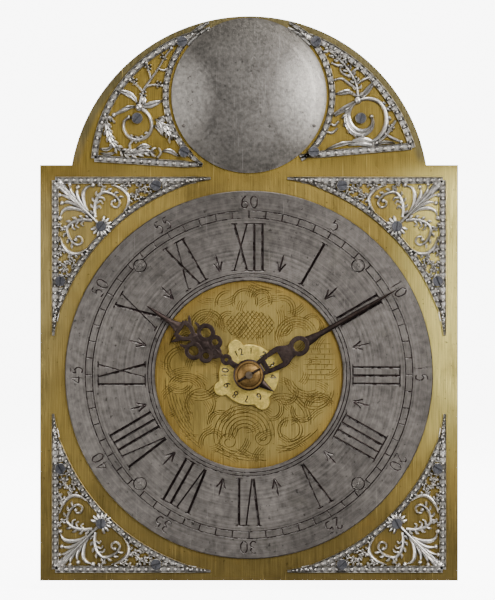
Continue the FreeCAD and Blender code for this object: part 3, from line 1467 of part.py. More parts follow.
def frame_screws():
    """Slotted screws of the potence, the cocks, the bell stand and the hanging bracket."""
    runs = [(potence_screw_places(), back_outside, back_inside - potence_foot),
            (alarm_cock_screw_places(), back_outside, back_inside - alarm_cock_foot),
            (back_cock_screw_places(), back_outside + back_cock_standoff, back_inside),
            (bell_foot_screw_places(), plate_front - bell_stand_thickness, plate_inside),
            (bracket_screw_places(), back_outside + bracket_strip, back_inside)]
    screws = []
    for places, seat, tip in runs:
        for x, z in places:
            screws.append(slotted_screw(frame_screw_head, frame_screw_rise, frame_screw_shank, seat, tip, x, z,
                                        len(screws) * screw_slot_step_degrees))
    return Part.makeCompound(screws)


def mirrored(shape, across_x, across_z):
    """A copy of a right-hand or upper piece on the other side of the hands' axis."""
    copy = shape.copy()
    if across_x:
        copy = copy.mirror(Vector(0, 0, 0), X_AXIS)
    if across_z:
        copy = copy.mirror(Vector(0, 0, 0), Z_AXIS)
    return copy


def all_pieces():
    """Every piece by its name, about the hands' axis."""
    corner = corner_spandrel()
    arch = arch_spandrel()
    pieces = {
        "corner_spandrel_upper_right": corner,
        "corner_spandrel_upper_left": mirrored(corner, True, False),
        "corner_spandrel_lower_right": mirrored(corner, False, True),
        "corner_spandrel_lower_left": mirrored(corner, True, True),
        "arch_spandrel_right": arch,
        "arch_spandrel_left": mirrored(arch, True, False),
    }
    makers = (dial_plate, chapter_ring, arch_boss, dial_rivets, spandrel_screws, dial_feet, taper_pins,
              front_plate, back_plate, pillars, great_arbor, great_wheel, ratchet_wheel, click, click_spring,
              pulley_cheeks, pulley_core, centre_arbor, centre_wheel, third_arbor, contrate_wheel, crown_arbor,
              crown_wheel, potence, verge, back_cock, pendulum_rod, pendulum_bob, cannon_pinion, minute_wheel,
              minute_pinion, minute_stud, hour_wheel, hour_hand, minute_hand, hand_collet, hand_pin, alarm_disc,
              alarm_cam, alarm_stud, alarm_pulley_cheeks, alarm_pulley_core, alarm_crown_wheel, alarm_verge,
              alarm_cocks, alarm_hammer, bell, bell_stand, bell_fixings, trip_lever, hanging_bracket,
              wall_spikes, frame_screws)
    for maker in makers:
        pieces[maker.__name__] = maker()
    return pieces


def write_pieces():
    """Move the origin to the wall eye and write one file per piece."""
    os.makedirs("parts", exist_ok=True)
    for name, shape in all_pieces().items():
        shape.translate(Vector(0, -wall_plane, -bracket_eye_z))
        shape.exportStep("parts/" + name + ".step")


write_pieces()
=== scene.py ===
"""Break-arch alarm wall clock: dressed dial, reliefs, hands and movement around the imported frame.

Pieces of the dial are drawn in millimetres on the dial's own sheet: u to the right, v up, w towards the
viewer, from the axis of the hands on the front face of the dial plate.
"""
import json
import logging
import math
import random
from dataclasses import dataclass, field, replace
from enum import Enum
from functools import partial
from typing import Iterator, Sequence

import bmesh
import bpy
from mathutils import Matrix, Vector


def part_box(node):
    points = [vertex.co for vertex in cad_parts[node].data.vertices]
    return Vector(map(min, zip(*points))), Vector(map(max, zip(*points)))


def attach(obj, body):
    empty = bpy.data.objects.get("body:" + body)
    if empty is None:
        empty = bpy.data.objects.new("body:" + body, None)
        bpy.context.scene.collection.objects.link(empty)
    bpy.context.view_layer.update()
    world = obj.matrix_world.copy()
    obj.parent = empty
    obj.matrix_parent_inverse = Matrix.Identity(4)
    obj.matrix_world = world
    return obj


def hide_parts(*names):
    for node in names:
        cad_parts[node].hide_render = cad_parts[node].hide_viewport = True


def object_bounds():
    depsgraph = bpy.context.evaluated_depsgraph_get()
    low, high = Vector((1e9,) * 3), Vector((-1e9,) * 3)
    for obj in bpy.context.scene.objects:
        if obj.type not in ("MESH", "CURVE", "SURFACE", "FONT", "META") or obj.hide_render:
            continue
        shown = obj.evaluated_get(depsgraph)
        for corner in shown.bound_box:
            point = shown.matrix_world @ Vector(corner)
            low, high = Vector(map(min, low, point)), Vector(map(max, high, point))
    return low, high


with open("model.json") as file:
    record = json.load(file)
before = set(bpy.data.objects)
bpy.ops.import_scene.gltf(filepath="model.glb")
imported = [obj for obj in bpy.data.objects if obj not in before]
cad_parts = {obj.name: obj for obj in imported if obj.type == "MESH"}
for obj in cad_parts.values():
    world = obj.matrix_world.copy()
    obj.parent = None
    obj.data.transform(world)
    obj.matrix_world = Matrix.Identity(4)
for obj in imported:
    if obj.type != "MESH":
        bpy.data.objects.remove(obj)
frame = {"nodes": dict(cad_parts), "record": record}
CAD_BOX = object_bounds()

log = logging.getLogger("clock")

Point = tuple[float, float]
Path = list[Point]
Corner = tuple[float, float, float]
Colour = tuple[float, float, float]
Piece = bpy.types.Object
Socket = bpy.types.NodeSocket

MM = 0.001
FULL_TURN = 360.0
DIAL_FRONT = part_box("dial_plate")[0][1]
RING_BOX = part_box("chapter_ring")
HAND_AXIS_X = (RING_BOX[0][0] + RING_BOX[1][0]) / 2
HAND_AXIS_Z = (RING_BOX[0][2] + RING_BOX[1][2]) / 2


def half_extent(node: str, axis: int) -> float:
    """Half the size of a node along one axis, in millimetres."""
    low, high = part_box(node)
    return (high[axis] - low[axis]) / 2 / MM


def on_dial(u: float, v: float, w: float) -> Vector:
    """A place on the dial's sheet, in the row frame."""
    return Vector((HAND_AXIS_X + u * MM, DIAL_FRONT - w * MM, HAND_AXIS_Z + v * MM))


def dial_box(node: str) -> tuple[float, float, float, float]:
    """Lowest u, highest u, lowest v and highest v of a node on the dial's sheet."""
    low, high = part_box(node)
    return ((low[0] - HAND_AXIS_X) / MM, (high[0] - HAND_AXIS_X) / MM,
            (low[2] - HAND_AXIS_Z) / MM, (high[2] - HAND_AXIS_Z) / MM)


AXIS: Point = (0.0, 0.0)
ARCH_CENTRE: Point = (0.0, 76.1)
BOSS_RADIUS = half_extent("arch_boss", 0)
BOSS_V = sum(dial_box("arch_boss")[2:]) / 2
BOSS_CENTRE: Point = (0.0, BOSS_V)
RING_THICKNESS = half_extent("chapter_ring", 1) * 2
RING_INNER = 40.0
CANNON_PIPE = 2.4
HOUR_PIPE = 3.5


# Lines on the dial's sheet

def clock_place(radius: float, degrees: float, centre: Point = AXIS) -> Point:
    """The place at a clockwise angle from the top."""
    turn = math.radians(degrees)
    return centre[0] + radius * math.sin(turn), centre[1] + radius * math.cos(turn)


def sweep_arc(centre: Point, radii: Point, degrees: Point, steps: int) -> Path:
    """A clockwise-angled arc or spiral.

    Args:
        centre: middle of the arc.
        radii: radius at the first and the last end.
        degrees: clockwise angle from the top at both ends.
        steps: number of stretches.

    Returns:
        Places from the first end to the last.
    """
    places = []
    for index in range(steps + 1):
        share = index / steps
        radius = radii[0] + (radii[1] - radii[0]) * share
        places.append(clock_place(radius, degrees[0] + (degrees[1] - degrees[0]) * share, centre))
    return places


def full_circle(centre: Point, radius: float, steps: int) -> Path:
    """A closed circle, without its first place repeated at the end."""
    return sweep_arc(centre, (radius, radius), (0.0, FULL_TURN), steps)[:-1]


def smooth(knots: Sequence[Point], steps: int = 8) -> Path:
    """A smooth line through a few knots.

    Args:
        knots: places that the line passes.
        steps: stretches between two knots.

    Returns:
        Places along the line.
    """
    padded = [knots[0], *knots, knots[-1]]
    places = []
    for before, here, after, beyond in zip(padded, padded[1:], padded[2:], padded[3:]):
        for index in range(steps):
            t = index / steps
            place = []
            for a, b, c, d in zip(before, here, after, beyond):
                place.append(0.5 * (2 * b + (c - a) * t + (2 * a - 5 * b + 4 * c - d) * t * t
                                    + (3 * b - a - 3 * c + d) * t ** 3))
            places.append((place[0], place[1]))
    places.append(tuple(knots[-1]))
    return places


def straight(first: Point, last: Point, steps: int = 1) -> Path:
    """A straight line in even stretches."""
    return [(first[0] + (last[0] - first[0]) * i / steps, first[1] + (last[1] - first[1]) * i / steps)
            for i in range(steps + 1)]


def along(path: Path, pitch: float) -> Iterator[Point]:
    """Places at an even pitch along a line, the first half a pitch in.

    Args:
        path: places of the line.
        pitch: distance from place to place.

    Yields:
        One place after another.
    """
    wanted = pitch / 2
    done = 0.0
    for a, b in zip(path, path[1:]):
        step = math.dist(a, b)
        while step and wanted <= done + step:
            share = (wanted - done) / step
            yield a[0] + (b[0] - a[0]) * share, a[1] + (b[1] - a[1]) * share
            wanted += pitch
        done += step


def side_of(path: Path, index: int, closed: bool) -> Point:
    """The direction square to a line at one of its places.

    Args:
        path: places of the line.
        index: which place.
        closed: whether the line is a loop.

    Returns:
        Unit direction to the right of the line.
    """
    count = len(path)
    if closed:
        before, after = path[index - 1], path[(index + 1) % count]
    else:
        before, after = path[max(0, index - 1)], path[min(count - 1, index + 1)]
    reach = math.dist(before, after) or 1.0
    return (after[1] - before[1]) / reach, (before[0] - after[0]) / reach


def spread(values: Sequence[float], share: float) -> float:
    """The value at a share of the way through an even row of values.

    Args:
        values: one or more values.
        share: from 0 at the first to 1 at the last.

    Returns:
        The value there, in between where it falls between two.
    """
    if len(values) == 1:
        return values[0]
    at = share * (len(values) - 1)
    low = min(int(at), len(values) - 2)
    return values[low] + (values[low + 1] - values[low]) * (at - low)


class Section(Enum):
    """Cross-sections of a relief strip: share of the half width, and share of the height."""

    ROUND = ((-1, 0), (-0.86, 0.52), (-0.5, 0.87), (0, 1), (0.5, 0.87), (0.86, 0.52), (1, 0))
    FLAT = ((-1, 0), (-1, 0.8), (-0.8, 1), (0.8, 1), (1, 0.8), (1, 0))
    LEAF = ((-1, 0), (-0.95, 0.7), (-0.5, 0.92), (-0.14, 0.78), (0, 1), (0.14, 0.78), (0.5, 0.92),
            (0.95, 0.7), (1, 0))
    TRAY = ((-1, 0), (-1, 0.75), (-0.86, 1), (-0.7, 0.8), (-0.62, 0.3), (0.62, 0.3), (0.7, 0.8),
            (0.86, 1), (1, 0.75), (1, 0))


@dataclass(frozen=True)
class Stroke:
    """A graver's cut: half its width on the face, and its depth."""

    half_width: float
    depth: float

    def scaled(self, width: float, depth: float = 1.0) -> "Stroke":
        """A cut of another width and depth."""
        return Stroke(self.half_width * width, self.depth * depth)


class Sketch:
    """Closed pieces of one mesh, gathered on the dial's sheet."""

    bead_turns = (math.radians(28), math.radians(52), math.radians(74))
    bead_segments = 10
    pointed_share = 0.3

    def __init__(self) -> None:
        """Start with no pieces."""
        self.places: list[Vector] = []
        self.faces: list[list[int]] = []
        # Faces that take the darker copy of the finish, painted shade for a ground.
        self.ground: list[int] = []

    def rings(self, rings: list[list[Corner]], closed: bool = False) -> None:
        """Skin a row of rings that have the same number of corners.

        Args:
            rings: corners of each ring as (u, v, w).
            closed: whether the last ring meets the first; the ends are capped otherwise.
        """
        count = len(rings[0])
        start = len(self.places)
        for ring in rings:
            self.places += [on_dial(*corner) for corner in ring]
        total = len(rings)
        for index in range(total if closed else total - 1):
            here = start + index * count
            there = start + (index + 1) % total * count
            for corner in range(count):
                after = (corner + 1) % count
                self.faces.append([here + corner, here + after, there + after, there + corner])
        if not closed:
            self.faces.append(list(range(start, start + count)))
            self.faces.append(list(range(start + (total - 1) * count, start + total * count)))

    def strip(self, path: Path, half_widths: Sequence[float], heights: Sequence[float], section: Section,
              base: float = 0.0, closed: bool = False, ground: bool = False) -> None:
        """A relief strip along a line.

        Args:
            path: places along the middle.
            half_widths: half widths, spread evenly from end to end.
            heights: heights above the base, spread evenly from end to end.
            section: form of the cross-section.
            base: w of the strip's underside.
            closed: whether the line is a loop.
            ground: whether it takes the darker copy of its finish, painted shade for a ground.
        """
        first = len(self.faces)
        rings = []
        for index, (u, v) in enumerate(path):
            share = index / max(1, len(path) - 1)
            half = spread(half_widths, share)
            height = spread(heights, share)
            across = side_of(path, index, closed)
            rings.append([(u + across[0] * s * half, v + across[1] * s * half, base + h * height)
                          for s, h in section.value])
        self.rings(rings, closed)
        if ground:
            self.ground += range(first, len(self.faces))

    def groove(self, path: Path, stroke: Stroke, level: float, closed: bool, pointed: bool) -> None:
        """A three-cornered bar that cuts a V-shaped line into a face.

        Args:
            path: places along the line.
            stroke: width and depth of the line.
            level: w of the face.
            closed: whether the line is a loop.
            pointed: whether both ends run out in a point.
        """
        rings = []
        last = len(path) - 1
        for index, (u, v) in enumerate(path):
            fade = self.pointed_share if pointed and index in (0, last) else 1.0
            across = side_of(path, index, closed)
            reach = stroke.half_width * (fade + 1.0)
            ring = [(u + across[0] * s * reach, v + across[1] * s * reach, level + stroke.depth)
                    for s in (-1, 1)]
            ring.append((u, v, level - stroke.depth * fade))
            rings.append(ring)
        self.rings(rings, closed)

    def turned(self, centre: Point, profile: Sequence[Point], segments: int = 24) -> None:
        """A turned piece that faces the viewer, with a flat foot and a flat front.

        Args:
            centre: place of its axis.
            profile: (radius, w) corners from the foot to the front.
            segments: corners round the axis.
        """
        turns = [2 * math.pi * index / segments for index in range(segments)]
        u, v = centre
        self.rings([[(u + radius * math.cos(turn), v + radius * math.sin(turn), w) for turn in turns]
                    for radius, w in profile])

    def bead(self, centre: Point, radius: float, base: float, height: float) -> None:
        """A half-round bead, by the middle, the radius and the w of its foot and its height above that."""
        dome = [(radius * math.cos(turn), base + height * math.sin(turn)) for turn in self.bead_turns]
        self.turned(centre, [(radius, base), *dome], self.bead_segments)

    def mirrored(self, across: int) -> "Sketch":
        """The same pieces on the other side of the hands' axis.

        Args:
            across: 0 for left and right, 2 for up and down.

        Returns:
            A new sketch.
        """
        other = Sketch()
        middle = (HAND_AXIS_X, 0.0, HAND_AXIS_Z)[across]
        for place in self.places:
            copy = place.copy()
            copy[across] = 2 * middle - copy[across]
            other.places.append(copy)
        other.faces = [face[::-1] for face in self.faces]
        other.ground = list(self.ground)
        return other

    def mesh(self, name: str, *finishes: "Finish") -> Piece:
        """A mesh object of all pieces, with outward faces.

        Args:
            name: name of the object.
            finishes: its finish, and the darker copy with painted shade for its ground where it has one.

        Returns:
            The object, linked to the scene.
        """
        data = bpy.data.meshes.new(name)
        data.from_pydata([tuple(place) for place in self.places], [], self.faces)
        work = bmesh.new()
        work.from_mesh(data)
        bmesh.ops.recalc_face_normals(work, faces=work.faces)
        work.to_mesh(data)
        work.free()
        for index in self.ground:
            data.polygons[index].material_index = 1
        for finish in finishes:
            data.materials.append(finish.material())
        piece = bpy.data.objects.new(name, data)
        bpy.context.scene.collection.objects.link(piece)
        return piece


class Cuts:
    """Cut lines of one face, sorted into layers whose lines keep clear of each other."""

    cell = 0.25

    def __init__(self, level: float) -> None:
        """Start with no lines on a face at a level w."""
        self.level = level
        self.layers: list[tuple[Sketch, set[tuple[int, int]]]] = []

    def cells(self, path: Path, reach: float, closed: bool) -> set[tuple[int, int]]:
        """Cells of a fine grid that a line covers.

        Args:
            path: places along the line.
            reach: how far the line reaches to each side.
            closed: whether the line is a loop.

        Returns:
            Columns and rows of the cells.
        """
        taken = set()
        span = math.ceil(reach / self.cell)
        ends = [*path, path[0]] if closed else path
        for a, b in zip(ends, ends[1:]):
            steps = max(1, math.ceil(math.dist(a, b) / self.cell))
            for u, v in straight(a, b, steps):
                column, row = round(u / self.cell), round(v / self.cell)
                for i in range(-span, span + 1):
                    for j in range(-span, span + 1):
                        taken.add((column + i, row + j))
        return taken

    def add(self, path: Path, stroke: Stroke, closed: bool = False, pointed: bool = True) -> None:
        """One line, on the first layer where it has room.

        Args:
            path: places along the line.
            stroke: width and depth of the line.
            closed: whether the line is a loop.
            pointed: whether both ends run out in a point.
        """
        wanted = self.cells(path, stroke.half_width * 2, closed)
        for sketch, taken in self.layers:
            if not taken & wanted:
                break
        else:
            sketch, taken = Sketch(), set()
            self.layers.append((sketch, taken))
        taken |= wanted
        sketch.groove(path, stroke, self.level, closed, pointed)

    def sketches(self) -> list[Sketch]:
        """The layers as sketches."""
        return [sketch for sketch, _ in self.layers]


def engrave(piece: Piece, cutters: Sequence[Sketch], groove: "Finish") -> None:
    """Cut lines into a piece, one layer of cutters after another.

    Args:
        piece: what is cut, with its own finish.
        cutters: layers whose bars do not cross within a layer.
        groove: finish of the cut faces.
    """
    for layer, cutter in enumerate(cutters):
        tool = cutter.mesh(piece.name + "_tool", groove)
        cut = piece.modifiers.new("engraving", "BOOLEAN")
        cut.operation = "DIFFERENCE"
        cut.solver = "MANIFOLD"
        cut.material_mode = "TRANSFER"
        cut.object = tool
        graph = bpy.context.evaluated_depsgraph_get()
        result = bpy.data.meshes.new_from_object(piece.evaluated_get(graph))
        piece.modifiers.clear()
        old, blade = piece.data, tool.data
        piece.data = result
        bpy.data.objects.remove(tool)
        for mesh in (old, blade):
            bpy.data.meshes.remove(mesh)
        log.info("%s: engraved layer %d, %d faces", piece.name, layer, len(piece.data.polygons))


EDGE_STEPS = 2
# Angles in degrees up to which two faces count as one smooth surface
CUT_ANGLE = 25.0
FILED_ANGLE = 30.0
TURNED_ANGLE = 40.0
CAST_ANGLE = 50.0


def soften(piece: Piece, width: float, degrees: float = TURNED_ANGLE) -> None:
    """Break the sharp edges of a piece.

    Args:
        piece: what is softened.
        width: width of the broken edge in millimetres.
        degrees: smallest angle that counts as an edge.
    """
    edge = piece.modifiers.new("broken_edges", "BEVEL")
    edge.width = width * MM
    edge.segments = EDGE_STEPS
    edge.limit_method = "ANGLE"
    edge.angle_limit = math.radians(degrees)
    edge.use_clamp_overlap = True
    edge.harden_normals = False


def stand_for(piece: Piece, degrees: float, body: str, slot: str, *nodes: str) -> None:
    """Smooth a piece except over its edges, and put it on its body in the place of its CAD nodes.

    Args:
        piece: the finished piece.
        degrees: smallest angle that counts as an edge.
        body: body that it rides on.
        slot: material slot of the part; not used.
        nodes: CAD nodes that it stands for.
    """
    piece.data.polygons.foreach_set("use_smooth", [True] * len(piece.data.polygons))
    piece.data.set_sharp_from_angle(angle=math.radians(degrees))
    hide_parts(*nodes)
    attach(piece, body)
    log.info("%s rides on %s for %s", piece.name, body, ", ".join(nodes))


# Finishes

RIGHTWARDS: Point = (1.0, 0.0)
UPWARDS: Point = (0.0, 1.0)
DOWNWARDS: Point = (0.0, -1.0)


def dimmed(colour: Colour, share: float) -> Colour:
    """A darker shade of a colour."""
    return tuple(part * share for part in colour)


class Grain(Enum):
    """How the metal's surface was worked."""

    VERTICAL = "vertical"
    CIRCULAR = "circular"
    CAST = "cast"
    TURNED = "turned"


@dataclass(frozen=True)
class Ramp:
    """Where a tone starts and is full, in millimetres along a direction, or from a place if it has none."""

    start: float
    full: float
    axis: Point = (0.0, 0.0)
    place: Point = AXIS


@dataclass(frozen=True)
class Veil:
    """Painted light and shade: a tone over part of the dial, where all its ramps let it through."""

    tone: Colour
    strength: float
    ramps: tuple[Ramp, ...]


@dataclass(frozen=True)
class Finish:
    """One metal finish: its colours, its grain, its wear, and light and shade painted into its colour."""

    name: str
    slot: str
    bright: Colour
    dull: Colour
    stain: Colour
    grain: Grain
    roughness: float
    grain_depth: float = 0.25
    grain_scale: float = 900.0
    patina_scale: float = 22.0
    stain_share: float = 0.4
    spots: float = 0.5
    # Dirt and painted shade in the recesses, darker where ambient occlusion finds them hidden.
    recess: float = 0.6
    recess_reach: float = 1.5
    metal: float = 1.0
    # Tone towards a rim at edge_radius: a warm stain on the dial plate, painted shade on the domed boss.
    edge_warmth: float = 0.0
    edge_radius: float = 0.0
    edge_start: float = 0.84
    middle_v: float = 0.0
    # Painted light and shade, laid over parts of the dial by direction and place.
    veils: tuple[Veil, ...] = ()
    # Painted highlight on the groove walls that face up and to the right, towards the key light.
    rubbed: float = 0.0
    rubbed_tone: Colour = (0.56, 0.525, 0.485)
    line_contrast: float = 0.2
    scratches: float = 0.3

    def material(self) -> bpy.types.Material:
        """The finish as a material, made once.

        Returns:
            The material, wired the first time that it is asked for.
        """
        title = "aged_" + self.name
        made = bpy.data.materials.get(title)
        if made:
            return made
        made = bpy.data.materials.new(title)
        made.use_nodes = True
        Wiring(made, self).build()
        return made


class Wiring:
    """Nodes of one finish."""

    cloud_span = (0.32, 0.68)
    stain_span = (0.56, 0.74)
    fleck_span = (0.66, 0.74)
    gloss_span = (0.3, 0.7)
    grime_span = (0.35, 0.95)
    wall_span = (0.25, 0.5)
    patch_span = (0.42, 0.55)
    edge_fall = (1.2, 1.4)
    line_dark = 1.5
    line_bright = 0.6
    fleck_scale = 520.0
    patch_scale = 480.0
    pit_scale = 1500.0
    scratch_scale = (1400.0, 40.0, 45.0)
    scratch_degrees = (25.0, -50.0, 78.0)
    # Facing of the groove walls that take the painted highlight: up and to the right.
    rubbed_facing = (0.5, 0.0, 0.87)
    recess_samples = 6
    bump_height = 0.0002

    def __init__(self, material: bpy.types.Material, finish: Finish) -> None:
        """Take the material's tree.

        Args:
            material: material to wire.
            finish: what it shows.
        """
        self.tree = material.node_tree
        self.finish = finish
        self.colour: Socket | Colour = finish.dull
        self.shader = self.tree.nodes["Principled BSDF"]
        self.coords = self.node("ShaderNodeTexCoord", {}).outputs["Object"]

    def feed(self, value: Socket | float | tuple[float, ...], target: Socket) -> None:
        """Put a value into a socket.

        Args:
            value: another node's output, or a constant.
            target: the socket.
        """
        if isinstance(value, Socket):
            self.tree.links.new(value, target)
        else:
            target.default_value = value

    def node(self, kind: str, inputs: dict[str | int, Socket | float | tuple[float, ...]],
             **settings: str | int) -> bpy.types.Node:
        """A new node.

        Args:
            kind: type of the node.
            inputs: what goes into its sockets.
            settings: its own choices, such as the operation.

        Returns:
            The node.
        """
        made = self.tree.nodes.new(kind)
        for name, choice in settings.items():
            setattr(made, name, choice)
        for key, value in inputs.items():
            self.feed(value, made.inputs[key])
        return made

    def mapped(self, **changes: Corner) -> Socket:
        """The object's coordinates, moved, turned or stretched."""
        return self.node("ShaderNodeMapping", {"Vector": self.coords, **changes}).outputs["Vector"]

    def sheet(self) -> Socket:
        """The place on the dial's sheet in millimetres, u first and v last."""
        return self.mapped(Scale=(1 / MM, 0.0, 1 / MM), Location=(-HAND_AXIS_X / MM, 0.0, -HAND_AXIS_Z / MM))

    def radial(self) -> Socket:
        """Distance in metres from the finish's middle, on the dial's middle line."""
        flat = self.mapped(Location=(-HAND_AXIS_X, 0.0, -HAND_AXIS_Z - self.finish.middle_v * MM),
                           Scale=(1.0, 0.0, 1.0))
        return self.node("ShaderNodeVectorMath", {0: flat}, operation="LENGTH").outputs["Value"]

    def noise(self, vector: Socket, scale: float, detail: float, rough: float = 0.55) -> Socket:
        """Cloudy values about 0.5."""
        inputs = {"Vector": vector, "Scale": scale, "Detail": detail, "Roughness": rough}
        return self.node("ShaderNodeTexNoise", inputs).outputs["Fac"]

    def between(self, value: Socket, span: Point, to: Point = (0.0, 1.0)) -> Socket:
        """A value moved from one span to another, and held there."""
        inputs = {"Value": value, "From Min": span[0], "From Max": span[1], "To Min": to[0], "To Max": to[1]}
        return self.node("ShaderNodeMapRange", inputs).outputs["Result"]

    def lay(self, share: Socket | float, tone: Socket | Colour, blend: str = "MIX") -> None:
        """Lay a tone over the colour so far.

        Args:
            share: how much of it shows.
            tone: what is laid.
            blend: way of blending.
        """
        inputs = {"Factor": share}
        for index, colour in ((6, self.colour), (7, tone)):
            inputs[index] = (*colour, 1.0) if isinstance(colour, tuple) else colour
        self.colour = self.node("ShaderNodeMix", inputs, data_type="RGBA", blend_type=blend).outputs[2]

    def mixed_value(self, first: Socket, second: Socket, share: float) -> Socket:
        """Two values, blended by a fixed share."""
        return self.node("ShaderNodeMix", {"Factor": share, "A": first, "B": second}).outputs["Result"]

    def product(self, first: Socket, second: Socket) -> Socket:
        """Two values, multiplied."""
        return self.node("ShaderNodeMath", {0: first, 1: second}, operation="MULTIPLY").outputs["Value"]

    def grain_value(self) -> Socket:
        """Fine lines or pits of the worked surface.

        Returns:
            Values about 0.5.
        """
        scale = self.finish.grain_scale
        if self.finish.grain is Grain.VERTICAL:
            return self.noise(self.mapped(Scale=(scale, scale * 0.05, scale * 0.02)), 1.0, 3.0, 0.7)
        if self.finish.grain is Grain.CIRCULAR:
            rings = self.node("ShaderNodeCombineXYZ", {"X": self.radial()}).outputs["Vector"]
            lines = self.noise(rings, scale, 4.0, 0.75)
            return self.mixed_value(lines, self.noise(self.coords, scale * 0.4, 3.0), 0.35)
        if self.finish.grain is Grain.TURNED:
            return self.noise(self.mapped(Scale=(scale * 0.3, scale, scale * 0.3)), 1.0, 3.0, 0.6)
        return self.noise(self.coords, scale, 4.0, 0.65)

    def patina(self) -> None:
        """Clouds, painted light and shade laid by place, stains, a tone towards a rim (a warm stain on the
        dial plate, painted shade on the boss), and dark flecks.
        """
        finish = self.finish
        cloud = self.noise(self.coords, finish.patina_scale, 6.0, 0.62)
        self.lay(self.between(cloud, self.cloud_span), finish.bright)
        # Painted light and shade, laid by direction and place on the dial.
        for veil in finish.veils:
            self.veil(veil)
        stains = self.noise(self.coords, finish.patina_scale * 2.7, 5.0, 0.7)
        self.lay(self.between(stains, self.stain_span, (0.0, finish.stain_share)), finish.stain)
        # Towards a rim: a warm stain on the dial plate, painted shade towards the boss's edge.
        if finish.edge_warmth:
            distance = self.radial()
            edge = finish.edge_radius * MM
            rise = self.between(distance, (edge * finish.edge_start, edge), (0.0, finish.edge_warmth))
            fall = self.between(distance, (edge * self.edge_fall[0], edge * self.edge_fall[1]), (1.0, 0.0))
            self.lay(self.product(rise, fall), finish.stain)
        flecks = self.noise(self.coords, self.fleck_scale, 2.0, 0.5)
        self.lay(self.between(flecks, self.fleck_span, (0.0, finish.spots)), dimmed(finish.dull, 0.35))

    def veil(self, veil: Veil) -> None:
        """Lay one veil of painted light and shade over the colour.

        Args:
            veil: tone and ramps.
        """
        share = None
        for ramp in veil.ramps:
            u, v = ramp.axis if any(ramp.axis) else ramp.place
            operation = "DOT_PRODUCT" if any(ramp.axis) else "DISTANCE"
            reach = self.node("ShaderNodeVectorMath", {0: self.sheet(), 1: (u, 0.0, v)}, operation=operation)
            top = 1.0 if share else veil.strength
            rise = self.between(reach.outputs["Value"], (ramp.start, ramp.full), (0.0, top))
            share = self.product(share, rise) if share else rise
        self.lay(share, veil.tone)

    def line(self, grain: Socket) -> None:
        """Darken and brighten the colour along the grain.

        Args:
            grain: fine lines or pits.
        """
        contrast = self.finish.line_contrast
        lines = self.between(grain, self.cloud_span,
                             (1.0 - contrast * self.line_dark, 1.0 + contrast * self.line_bright))
        tone = self.node("ShaderNodeCombineColor", {"Red": lines, "Green": lines, "Blue": lines})
        self.lay(1.0, tone.outputs["Color"], "MULTIPLY")

    def scratch(self) -> None:
        """Fine bright and dark scratches in three directions."""
        light = tuple(min(1.0, c * 1.5 + 0.03) for c in self.finish.bright)
        dark = dimmed(self.finish.dull, 0.4)
        for degrees, tone in zip(self.scratch_degrees, (light, dark, light)):
            turned = self.mapped(Rotation=(0.0, math.radians(degrees), 0.0), Scale=self.scratch_scale)
            lines = self.noise(turned, 1.0, 2.0, 0.5)
            self.lay(self.between(lines, self.fleck_span, (0.0, self.finish.scratches)), tone)

    def rub(self) -> None:
        """Painted highlight: a bright tone, in patches, on the groove walls that face up and to the right
        towards the key light.
        """
        towards = {0: self.coords.node.outputs["Normal"], 1: self.rubbed_facing}
        facing = self.node("ShaderNodeVectorMath", towards, operation="DOT_PRODUCT")
        wall = self.between(facing.outputs["Value"], self.wall_span, (0.0, self.finish.rubbed))
        patch = self.between(self.noise(self.coords, self.patch_scale, 3.0), self.patch_span)
        self.lay(self.product(wall, patch), self.finish.rubbed_tone)

    def grime(self) -> None:
        """Dirt and painted shade in the recesses: darker where ambient occlusion finds the surface hidden."""
        reach = {"Distance": self.finish.recess_reach * MM}
        shadow = self.node("ShaderNodeAmbientOcclusion", reach, samples=self.recess_samples)
        cover = self.between(shadow.outputs["AO"], self.grime_span, (self.finish.recess, 0.0))
        self.lay(cover, dimmed(self.finish.dull, 0.12))

    def build(self) -> None:
        """Wire colour, roughness and relief to the shader."""
        finish = self.finish
        grain = self.grain_value()
        self.patina()
        self.line(grain)
        self.scratch()
        if finish.rubbed:
            self.rub()
        self.grime()
        worn = self.noise(self.coords, finish.patina_scale * 6.0, 4.0)
        gloss = self.between(self.mixed_value(worn, grain, 0.5), self.gloss_span,
                             (finish.roughness * 0.75, min(1.0, finish.roughness * 1.35)))
        pits = self.noise(self.coords, self.pit_scale, 3.0, 0.6)
        relief = {"Strength": finish.grain_depth, "Distance": self.bump_height,
                  "Height": self.mixed_value(grain, pits, 0.4)}
        bump = self.node("ShaderNodeBump", relief)
        for name, value in (("Base Color", self.colour), ("Roughness", gloss), ("Metallic", finish.metal),
                            ("Normal", bump.outputs["Normal"])):
            self.feed(value, self.shader.inputs[name])


